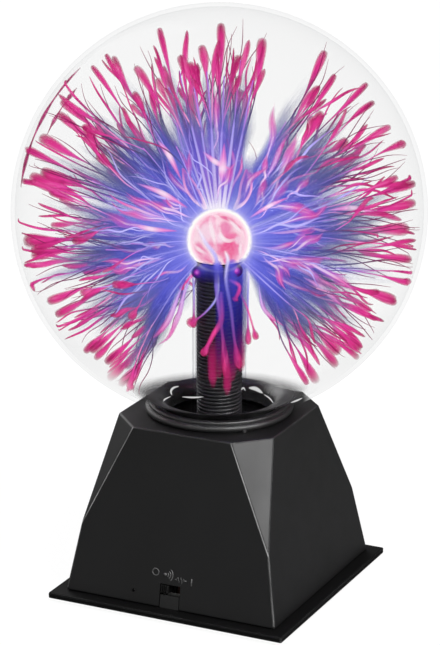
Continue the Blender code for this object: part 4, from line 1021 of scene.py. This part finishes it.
class Discharge:
    """The four meshes of the discharge: soft veils, fainter mist, thin filaments and thick flares."""

    def __init__(self):
        self.random = np.random.RandomState(SEED)
        self.veils, self.mist, self.cores, self.flares = Tubes(10), Tubes(10), Tubes(5), Tubes(10)

    def grow(self):
        for direction in sphere_directions(self.random, TRUNKS):
            if wanted(direction) and not in_crown(direction):
                self.tree(direction, self.random.randint(1, 3))
            elif in_gap(direction):
                self.stub(direction)
        for direction in ring_directions(self.random, OUTLINE_TRUNKS):
            if wanted(direction):
                self.tree(direction, self.random.randint(2, 4))
        self.crown()
        self.drips()
        self.embers()
        self.arcs()
        self.petals()
        self.strands()
        self.tips()
        self.blazes()

    def make(self):
        glowing(self.veils.make("plasma_veil", soft_glow("plasma_veil", 1.8, streaks=0.4)))
        glowing(self.mist.make("plasma_mist", soft_glow("plasma_mist", 2.0)))
        glowing(self.cores.make("plasma_filaments", soft_glow("plasma_filament", 0.5, 1.05)))
        glowing(self.flares.make("plasma_flares", soft_glow("plasma_flare", 1.5, darker=0.8, fibres=0.7)))

    @staticmethod
    def lay(tubes, path, stops, widths, start=0.0, end=1.0, count=20, scale=1.0, extra=0.0):
        """A tube along the path. Its widths are (position, mm), times the scale, and some extra mm."""
        s = np.linspace(start, end, count)
        at, size = zip(*widths)
        tubes.add(path.at(s), scale * MM * np.interp(s, at, size) + extra * MM, ramp(stops, s))

    def line(self, path, start, end, widths, stops, count=16):
        self.lay(self.cores, path, stops, widths, start, end, count)

    def veil(self, path, start, end, width):
        stops = DEEP_VEIL if self.random.uniform() < 0.42 else VEIL
        widths = [(0, 0.35), (0.12, 0.6), (0.4, 1.0), (0.7, 0.8), (0.9, 0.2)]
        self.lay(self.veils, path, stops, widths, start, end, 15, width)

    def flare(self, path, start, peak, thick, last, stops=FLARE):
        s = np.linspace(start, 1.0, 22)
        self.flares.add(path.at(s), swelling(s, start, peak, 0.22, thick, last) * MM, ramp(stops, s))

    def tree(self, direction, forks):
        """A trunk with its veil, and forks that each end in a flare."""
        random = self.random
        up, left, near = direction @ UP, -(direction @ RIGHT), direction @ NEAR
        fullness = random.uniform(0.7, 1.0) - 0.06 * max(up, 0) + 0.13 * max(left, 0)
        reach = reach_to_glass(direction) * (fullness + 0.16 * max(-left, 0) ** 3)
        trunk = Streamer(random, direction, reach, 3.2 * MM)
        self.veil(trunk, 0.0, 0.88, random.uniform(3.6, 6.0))
        if random.uniform() < 0.5:
            bright = random.uniform(0.24, 0.5)
            self.line(trunk, 0.0, 0.6, [(0, bright), (0.2, bright), (0.6, 0.28)], CORE)
        for _ in range(random.randint(0, 4) if near < 0.4 else 0):
            start = random.uniform(0.3, 0.5)
            reach_on = min(reach * random.uniform(0.94, 1.12), reach_to_glass(direction))
            spread = random.uniform(0.05, 0.22) * reach
            lone = Streamer(random, direction, reach_on, 4.0 * MM, trunk, start, spread)
            if not astray(lone):
                self.line(lone, start, 1.0, [(0.3, 0.2), (0.6, 0.3), (0.9, 0.24), (1.0, 0.1)], TAIL, 20)
        if random.uniform() < 0.75:
            thick = random.uniform(3.5, 7.0)
            self.lay(self.veils, trunk, FOG, [(0.35, 0.5), (0.6, 1.0), (0.92, 0.5)], 0.35, 0.92, 12, thick)
        for _ in range(forks):
            fork_at = random.uniform(0.3, 0.58)
            fork_reach = reach * random.uniform(0.86, 1.06)
            spread = random.uniform(0.03, 0.17) * reach
            self.fork(Streamer(random, direction, fork_reach, 2.6 * MM, trunk, fork_at, spread), fork_at)

    def stub(self, direction):
        """A short trunk that keeps the foot of the open wedge filled."""
        aside = math.sqrt(1 - (direction @ NEAR) ** 2)
        path = Streamer(self.random, direction, 44 * MM / max(aside, 0.5), 1.0 * MM)
        self.lay(self.veils, path, STUB, [(0, 2.0), (0.5, 4.2), (1, 3.0)], count=12)

    def fork(self, fork, fork_at):
        """A filament that ends in a flare, of one of three kinds."""
        uniform = self.random.uniform
        kind = uniform()
        if astray(fork):
            return
        if uniform() < 0.5:
            self.veil(fork, fork_at, 0.9, uniform(1.5, 3.0))
        if kind < 0.44:
            self.line(fork, fork_at, 1.0, [(0.3, 0.4), (0.8, 0.36), (1.0, 0.1)], DARK)
            self.flare(fork, 0.6, uniform(0.75, 0.9), uniform(0.4, 0.9), 0.1)
        elif kind < 0.8:
            self.line(fork, fork_at, 0.88, [(0.3, 0.34), (0.9, 0.24)], CORE)
            self.flare(fork, uniform(0.56, 0.72), uniform(0.84, 0.93), uniform(0.8, 1.8), 0.3)
        else:
            self.line(fork, fork_at, 0.9, [(0.3, 0.34), (0.9, 0.24)], CORE)
            thick = uniform(1.6, 2.8)
            self.flare(fork, uniform(0.62, 0.74), uniform(0.93, 0.97), thick, 0.7 * thick)
        if uniform() < 0.25:
            self.line(fork, 0.45, 0.84, [(0.45, 0.2), (0.6, 0.42), (0.84, 0.25)], HOT_FORK)

    def crown(self):
        """The strong straight rays that rise from the top of the bulb."""
        random = self.random
        for lean, size in CROWN:
            tilt = math.radians(lean)
            way = unit(seen_from_front(math.sin(tilt), math.cos(tilt), random.uniform(0.4, 0.55)))
            ray = Streamer(random, way, reach_to_glass(way) * random.uniform(0.84, 0.98), 1.0 * MM)
            self.line(ray, 0.0, 0.85, [(0, size), (0.3, 0.8 * size), (0.5, 0.5), (0.85, 0.3)], CROWN_RAY, 20)
            widths = [(0, 0.4), (0.12, 0.7), (0.4, 1.0), (0.85, 0.3)]
            self.lay(self.veils, ray, CROWN_VEIL, widths, 0, 0.85, 15, random.uniform(2.4, 4.0))
            for _ in range(3):
                reach = ray.reach * random.uniform(0.85, 1.03)
                self.fork(Streamer(random, way, reach, 1.5 * MM, ray, 0.5, random.uniform(3, 9) * MM), 0.5)

    def drips(self):
        """Threads that run down round the stem, each with its mist, and the glow on the stem behind them."""
        for (start, middle, end), bead, points in DRIPS:
            stops = PINK_DRIP if points[0][2] < -12 else DRIP
            widths = [(0, start), (0.5, middle), (1, end)]
            path = round_stem(points)
            self.line(path, 0, 1, [(at, 0.6 * size) for at, size in widths], stops, 24)
            self.lay(self.mist, path, fainter(stops, 0.7), widths, scale=1.3, extra=0.3)
            self.flare(path, 0.72, 0.95, bead, 0.6 * bead, DRIP_FLARE)
        for width, points in RIBBONS:
            self.lay(self.mist, round_stem(points), RIBBON, [(0, 0.4), (0.5, 1), (1, 0.5)], scale=width)
        for width, opacity, colours, points in STEM_GLOW:
            widths = [(0, 0.7), (0.2, 1), (0.8, 1), (1, 0.3)]
            self.lay(self.mist, round_stem(points), fainter(colours, opacity), widths, scale=width)

    def embers(self):
        """Short flares that end inside the bright middle of the discharge, on the side towards the camera."""
        uniform = self.random.uniform
        for direction in sphere_directions(self.random, EMBERS):
            if not -0.1 < direction @ NEAR < 0.62 or not wanted(direction) or uniform() < 0.15:
                continue
            path = Streamer(self.random, direction, uniform(38, 72) * MM, 5.0 * MM)
            s = np.linspace(uniform(0.1, 0.4), 1.0, 20)
            t = (s - s[0]) / (1 - s[0])
            widths = np.sin(math.pi * t**1.2) * uniform(0.35, 1.0) + 0.2
            self.mist.add(path.at(s), 1.5 * widths * MM, ramp(EMBER, t))
            self.cores.add(path.at(s), (0.15 + uniform(0.3, 0.6) * np.sin(math.pi * t)) * MM, ramp(HOT, t))

    def arcs(self):
        """Lilac filaments that curve across the middle of the discharge, some with a hot pink stretch."""
        uniform = self.random.uniform
        share = np.linspace(0, 1, 6)
        for _ in range(ARCS):
            lean = uniform(-0.5, 3.65)
            way = unit(seen_from_front(math.cos(lean), math.sin(lean), uniform(0.15, 0.9)))
            if not wanted(way):
                continue
            start, length = uniform(19, 42), uniform(16, 44)
            side = unit(np.cross(way, NEAR))
            drift = uniform(-17, 17) * share**1.4
            jags = uniform(-1.6, 1.6, size=(2, len(share)))
            aside = np.outer(drift + jags[0], side) + np.outer(jags[1], np.cross(way, side))
            path = Thread(BULB_AT + MM * (np.outer(start + length * share, way) + aside))
            width, pink = uniform(0.3, 0.75), uniform() < 0.4
            self.lay(self.cores, path, HOT if pink else LILAC, [(0, 0.5), (0.5, 1), (1, 0.4)], scale=width)
            if pink:
                s = np.linspace(0.25, 0.95, 12)
                widths = uniform(1.8, 3.4) * MM * np.interp(s, (0.25, 0.7, 0.95), (0.3, 1, 0.4))
                self.mist.add(path.at(s), widths, ramp(EMBER, (s - 0.25) / 0.7))

    def strands(self):
        """Threads that run along the glass at the left, swelling here and there."""
        s = np.linspace(0, 1, 40)
        for inset, low, high, swells in STRANDS:
            away = GLASS_LIMIT - inset * MM
            slopes = np.radians(low + (high - low) * s)
            path = [GLOBE_AT + seen_from_front(-math.cos(a) * away, math.sin(a) * away, 0) for a in slopes]
            widths = 0.3 + sum(size * np.exp(-(((s - at) / 0.11) ** 2)) for at, size in swells)
            self.flares.add(path, widths * MM, ramp(STRAND, s))

    def tips(self):
        """Trumpet-shaped flares that end at the glass, placed one by one."""
        for lean, near, share, thick in TIPS:
            turn = math.radians(lean)
            way = unit(seen_from_front(math.cos(turn), math.sin(turn), near))
            path = Streamer(self.random, way, reach_to_glass(way) * share, 2.5 * MM)
            self.line(path, 0.3, 1.0, [(0.3, 0.3), (0.8, 0.4), (1.0, 0.2)], DARK)
            self.flare(path, 0.6, 0.95, thick, 0.75 * thick)

    def blazes(self):
        """Pink-white spots where filaments meet in front of the bright middle."""
        s = np.linspace(0, 1, 16)
        for width, points in BLAZES:
            path = before_bulb(points)
            self.mist.add(path.at(s), width * MM * np.sin(math.pi * s) + 0.3 * MM, ramp(BLAZE, s))
            self.line(path, 0, 1, [(0, 0.35), (1, 0.35)], HOT)

    def petals(self):
        """Two leaf-shaped loops beside the crown's rays. Each is a filled leaf with a lit outline."""
        for sides in PETALS:
            for points in sides:
                self.line(before_bulb(points), 0, 1, [(0, 1.0), (0.3, 0.8), (1, 0.6)], PETAL_EDGE, 20)
            middle = [tuple((a + b) / 2 for a, b in zip(*pair)) for pair in zip(*sides)]
            self.lay(self.veils, before_bulb(middle), PETAL_FILL, [(0, 1.0), (0.5, 3.0), (1, 0.6)], count=14)


class Thread:
    """A smooth path through these points."""

    def __init__(self, spots):
        spots = [np.array(spot) for spot in spots]
        self.spots = np.array([2 * spots[0] - spots[1], *spots, 2 * spots[-1] - spots[-2]])

    def at(self, s):
        at = np.clip(s, 0, 1) * (len(self.spots) - 3)
        i = np.minimum(at.astype(int), len(self.spots) - 4)
        t = (at - i)[:, None]
        a, b, c, d = (self.spots[i + k] for k in range(4))
        return 0.5 * (2 * b + (c - a) * t + (2 * a - 5 * b + 4 * c - d) * t**2 + (3 * b - a - 3 * c + d) * t**3)


def stem_place(azimuth, away, height):
    """A place by its azimuth from the camera, distance from the axis and height over the bulb's middle."""
    turn = FRONT + math.radians(azimuth)
    return away * MM * math.cos(turn), away * MM * math.sin(turn), BULB.z + height * MM


def round_stem(points):
    return Thread(stem_place(*point) for point in points)


def before_bulb(points):
    """A path through places (right, up, near) in mm from the bulb's middle, as the camera sees it."""
    return Thread(BULB_AT + MM * seen_from_front(*point) for point in points)


def make_discharge():
    discharge = Discharge()
    discharge.grow()
    discharge.make()


# Name, azimuth from the camera in degrees, height over the bulb's middle and radius in mm.
SPARKS = [("spark_left", -44, -13.0, 3.0), ("spark_right", 32, -11.5, 3.3)]


def make_sparks():
    """Two dark violet beads of glow with a magenta middle, where the stem meets the bulb."""
    s = Shader("spark")
    facing = s.facing()
    colour = s.ramp(facing, [(0.0, "e070e0"), (0.06, "9a2cb0"), (0.2, "341068"), (0.6, "1c0c4c")])
    colour = s.blend(s.level(s.noise(500, 2), [(0.45, 0.0), (0.65, 0.35)]), colour, "7a3cc0")
    glow = s.light(s.level(facing, [(0.0, 0.9), (0.6, 0.85), (1.0, 0.0)]), colour)
    for name, azimuth, height, radius in SPARKS:
        middle = Vector(stem_place(azimuth, SPARK_REACH, height))
        glowing(turned(name, ball(0, radius * MM, 17), glow, 24, at=middle))


def make_halo():
    """The soft white glow round the bulb. It leaves the bulb's own disc clear, and fades outwards."""
    s = Shader("bulb_halo")
    stops = [(0.0, 0.0), (0.125, 0.0), (0.148, 0.6), (0.168, 0.22), (0.21, 0.05), (0.32, 0.0), (1.0, 0.0)]
    height = s.height(s.place(move=(0, 0, 50 * MM - BULB.z)))
    amount = s.times(s.level(s.facing(), stops), s.level(s.times(height, 10), [(0.42, 0.0), (0.5, 1.0)]))
    amount = s.times(amount, s.level(s.noise(60, 3), [(0.3, 0.8), (0.7, 1.0)]))
    glowing(turned("bulb_halo", ball(BULB.z, HALO_RADIUS, 48), s.light(amount, "f3eeff"), 64))


# ---------------------------------------------------------------- base details


class WallMarks:
    """Raised lines on the front wall's outer face, in mm across and up from the middle at this height."""

    def __init__(self, height):
        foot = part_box("housing")[0]
        outward = Vector((0, -math.cos(WALL_SLOPE), math.sin(WALL_SLOPE)))
        upward = Vector((0, math.sin(WALL_SLOPE), math.cos(WALL_SLOPE)))
        self.wall = Matrix(((1, 0, 0), upward, outward)).transposed().to_4x4()
        self.wall.translation = Vector((0, foot.y + (height - foot.z) * math.tan(WALL_SLOPE), height))
        self.lines = Tubes(8)

    def line(self, points, width=STROKE):
        path = [tuple(self.wall @ Vector((x * MM, y * MM, -0.1 * MM))) for x, y in points]
        self.lines.plain(path, width * MM)

    def curve(self, x, y, radius, start, end, count):
        turn = np.linspace(start, end, count)
        self.line([(x + radius * math.cos(a), y + radius * math.sin(a)) for a in turn])


def make_icons():
    """Marks over the switch's positions: a ring for off, sound waves with a wave line, and a bar for on."""
    marks = WallMarks(MARKS_HEIGHT)
    marks.curve(-8.4, 1.0, 1.7, 0, 2 * math.pi * 25 / 24, 26)
    for radius in (1.2, 2.4, 3.6):
        marks.curve(-2.6, 0.6, radius, -0.85, 0.85, 9)
    marks.line([(-3.6, 0.6), (-2.6, 0.6)], 2 * STROKE)
    peaks = [(1.2, 1.3), (2.0, -1.3), (2.8, 1.6), (3.6, -1.6), (4.4, 1.1)]
    marks.line([(2.6 + x, -1.0 + y) for x, y in [(-0.2, 0), (0.6, 0), *peaks, (5.0, 0), (5.8, 0)]])
    marks.line([(11.2, -3.0), (11.2, 0.6)])
    # The raised marks are coloured lighter grey than the housing they stand on, as painted highlight where they
    # catch the light.
    plastic = moulded_plastic("icon_plastic_painted_highlight", "4a4a4a", "5c5c5c", 0.3, 0.3)
    standing_for(marks.lines.make("switch_icons", plastic), "body_plastic")


# ---------------------------------------------------------------- materials of the carried-over CAD nodes


def node_finishes():
    """Materials, each with the CAD nodes that have it."""
    # The housing gets painted highlights on its edges and along its corner facets, and the plate on its rim.
    edge_highlights = (0.42, 30 * MM, ROOF - 1.2 * MM, 0.25)
    yield moulded_plastic("body_plastic", "0c0c0c", "101011", 0.4, edge_highlights=edge_highlights, facets=facet_plane()), "housing"
    dull = {"grain": 0.9, "specular": 0.14, "edge_highlights": (0.3, 0, PLATE_TOP, 0), "upper": "161616"}
    yield moulded_plastic("plate_plastic", "050505", "070708", 0.55, **dull), "base_plate"
    yield moulded_plastic("inner_plastic", "1a1a1b", "222224", 0.5, 0.6), "coil_former neck_socket"
    gloss = moulded_plastic("knob_plastic", "080808", "0c0c0c", 0.45, 0.4, specular=0.25)
    yield gloss, "switch_knob power_jack"
    feet = "foot_front_left foot_front_right foot_rear_left foot_rear_right"
    yield rubber("foot_rubber", "1b1b1b"), "neck_cushion stem_plug " + feet
    screws = " ".join(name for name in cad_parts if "screw" in name)
    yield metal("plated_steel", (0.62, 0.62, 0.6), 0.32, (1, 1, 0.1)), "switch_frame jack_nut " + screws
    yield metal("aluminium", (0.77, 0.78, 0.79), 0.34, (1, 1, 0.08)), "microphone heat_sink"
    yield metal("brass", (0.78, 0.58, 0.27), 0.25, (1, 1, 0.2)), "jack_pin"
    yield board_laminate("board_laminate"), "circuit_board"
    yield wound("enamelled_copper", "c8743a", "6b2f12", 0.6 * MM, 0.9), "primary_winding"
    yield wound("polyester_tape", "e6c02e", "c89a14", 3.0 * MM, 0.0), "secondary_winding"
    yield cast("ferrite", "2b2b2e", "3c3c40", 0.6, 500), "transformer_core"
    yield cast("phenolic", "3a2016", "4d2c1e", 0.5), "transformer_bobbin switch_case"
    yield cast("moulding_compound", "1c1c1d", "2a2a2b", 0.5, 700), "power_transistor timer_chip"
    yield cast("dipped_film_case", "9c2414", "b5301c", 0.35), "film_capacitor"
    yield cast("printed_sleeve", "14243f", "1c3156", 0.35, 120), "filter_capacitor"
    yield cast("red_insulation", "a81a14", "c0241c", 0.4, 200), "power_lead_positive switch_lead_a"
    yield cast("black_insulation", "161616", "202020", 0.4, 200), "power_lead_negative microphone_lead"
    yield cast("white_insulation", "dcdad2", "efede6", 0.45, 200), "hv_lead switch_lead_b"


def finish_nodes():
    for material, names in node_finishes():
        for name in names.split():
            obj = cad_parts[name]
            obj.data.materials.clear()
            obj.data.materials.append(material)


# ---------------------------------------------------------------- stage


def make_floor():
    """Pale, and nearly white to the camera."""
    s = Shader("pale_floor")
    pale, shade = (s.add("BsdfDiffuse", color=(v, v, v)) for v in (0.17, 0.07))
    lit = s.fill("AddShader", (shade, s.add("Emission", color=(1, 1, 1), strength=0.95)))
    material = s.finish(s.mix(s.add("LightPath", "Is Camera Ray"), pale, lit))
    verts = [(x * FLOOR_HALF, y * FLOOR_HALF, 0) for x, y in ((-1, -1), (1, -1), (1, 1), (-1, 1))]
    new_object("floor", listed_mesh("floor", verts, [(0, 1, 2, 3)]), material, smooth=False)


def make_world():
    """White to the camera. In mirrored light, a studio that is brighter in front of the object than behind."""
    s = Shader("studio", "worlds", "OutputWorld")
    depth = s.add("SeparateXYZ", "Y", vector=s.add("TexCoord", "Generated"))
    dim = s.add("MapRange", value=depth, from_min=-0.5, from_max=0.3, to_min=0.42, to_max=0.08)
    seen, mirrored = (s.add("Background", color=(1, 1, 1), strength=strength) for strength in (1.0, dim))
    bpy.context.scene.world = s.finish(s.mix(s.add("LightPath", "Is Camera Ray"), mirrored, seen))


def aimed(name, data, place, way):
    """An object at the place, looking back against the way it stands off."""
    obj = bpy.data.objects.new(name, data)
    obj.location = place
    obj.rotation_euler = (-way).to_track_quat("-Z", "Y").to_euler()
    bpy.context.scene.collection.objects.link(obj)
    return obj


def softbox(name, azimuth, elevation, distance, size, power):
    """A square area light aimed at the object. Azimuth 0 is in front, along -Y, and 90 is +X."""
    a, e = math.radians(azimuth), math.radians(elevation)
    way = Vector((math.sin(a) * math.cos(e), -math.cos(a) * math.cos(e), math.sin(e)))
    light = bpy.data.lights.new(name, "AREA")
    light.shape = "SQUARE"
    light.size = size
    light.energy = power
    aimed(name, light, LIGHTS_AIM + way * distance, way)


def make_camera():
    camera = bpy.data.cameras.new("camera")
    camera.lens = CAMERA_LENS
    camera.sensor_width = 36
    camera.shift_x, camera.shift_y = CAMERA_SHIFT
    camera.clip_end = 60
    place = CAMERA_AIM + TO_CAMERA * CAMERA_DISTANCE
    bpy.context.scene.camera = aimed("camera", camera, place, TO_CAMERA)


def make_stage():
    make_floor()
    make_world()
    softbox("top_light", 0, 88, 1.9, 2.2, 19)
    softbox("right_light", 64, 34, 1.5, 1.0, 26)
    softbox("left_light", -118, 30, 2.6, 2.0, 30)
    make_camera()
    scene = bpy.context.scene
    scene.view_settings.view_transform = "Standard"
    scene.cycles.transparent_max_bounces = 96
    scene.cycles.max_bounces = 6


make_globe()
make_globe_root()
make_glints()
make_stem()
make_wool()
make_column()
make_collar()
make_discharge()
make_halo()
make_sparks()
make_icons()
finish_nodes()
make_stage()
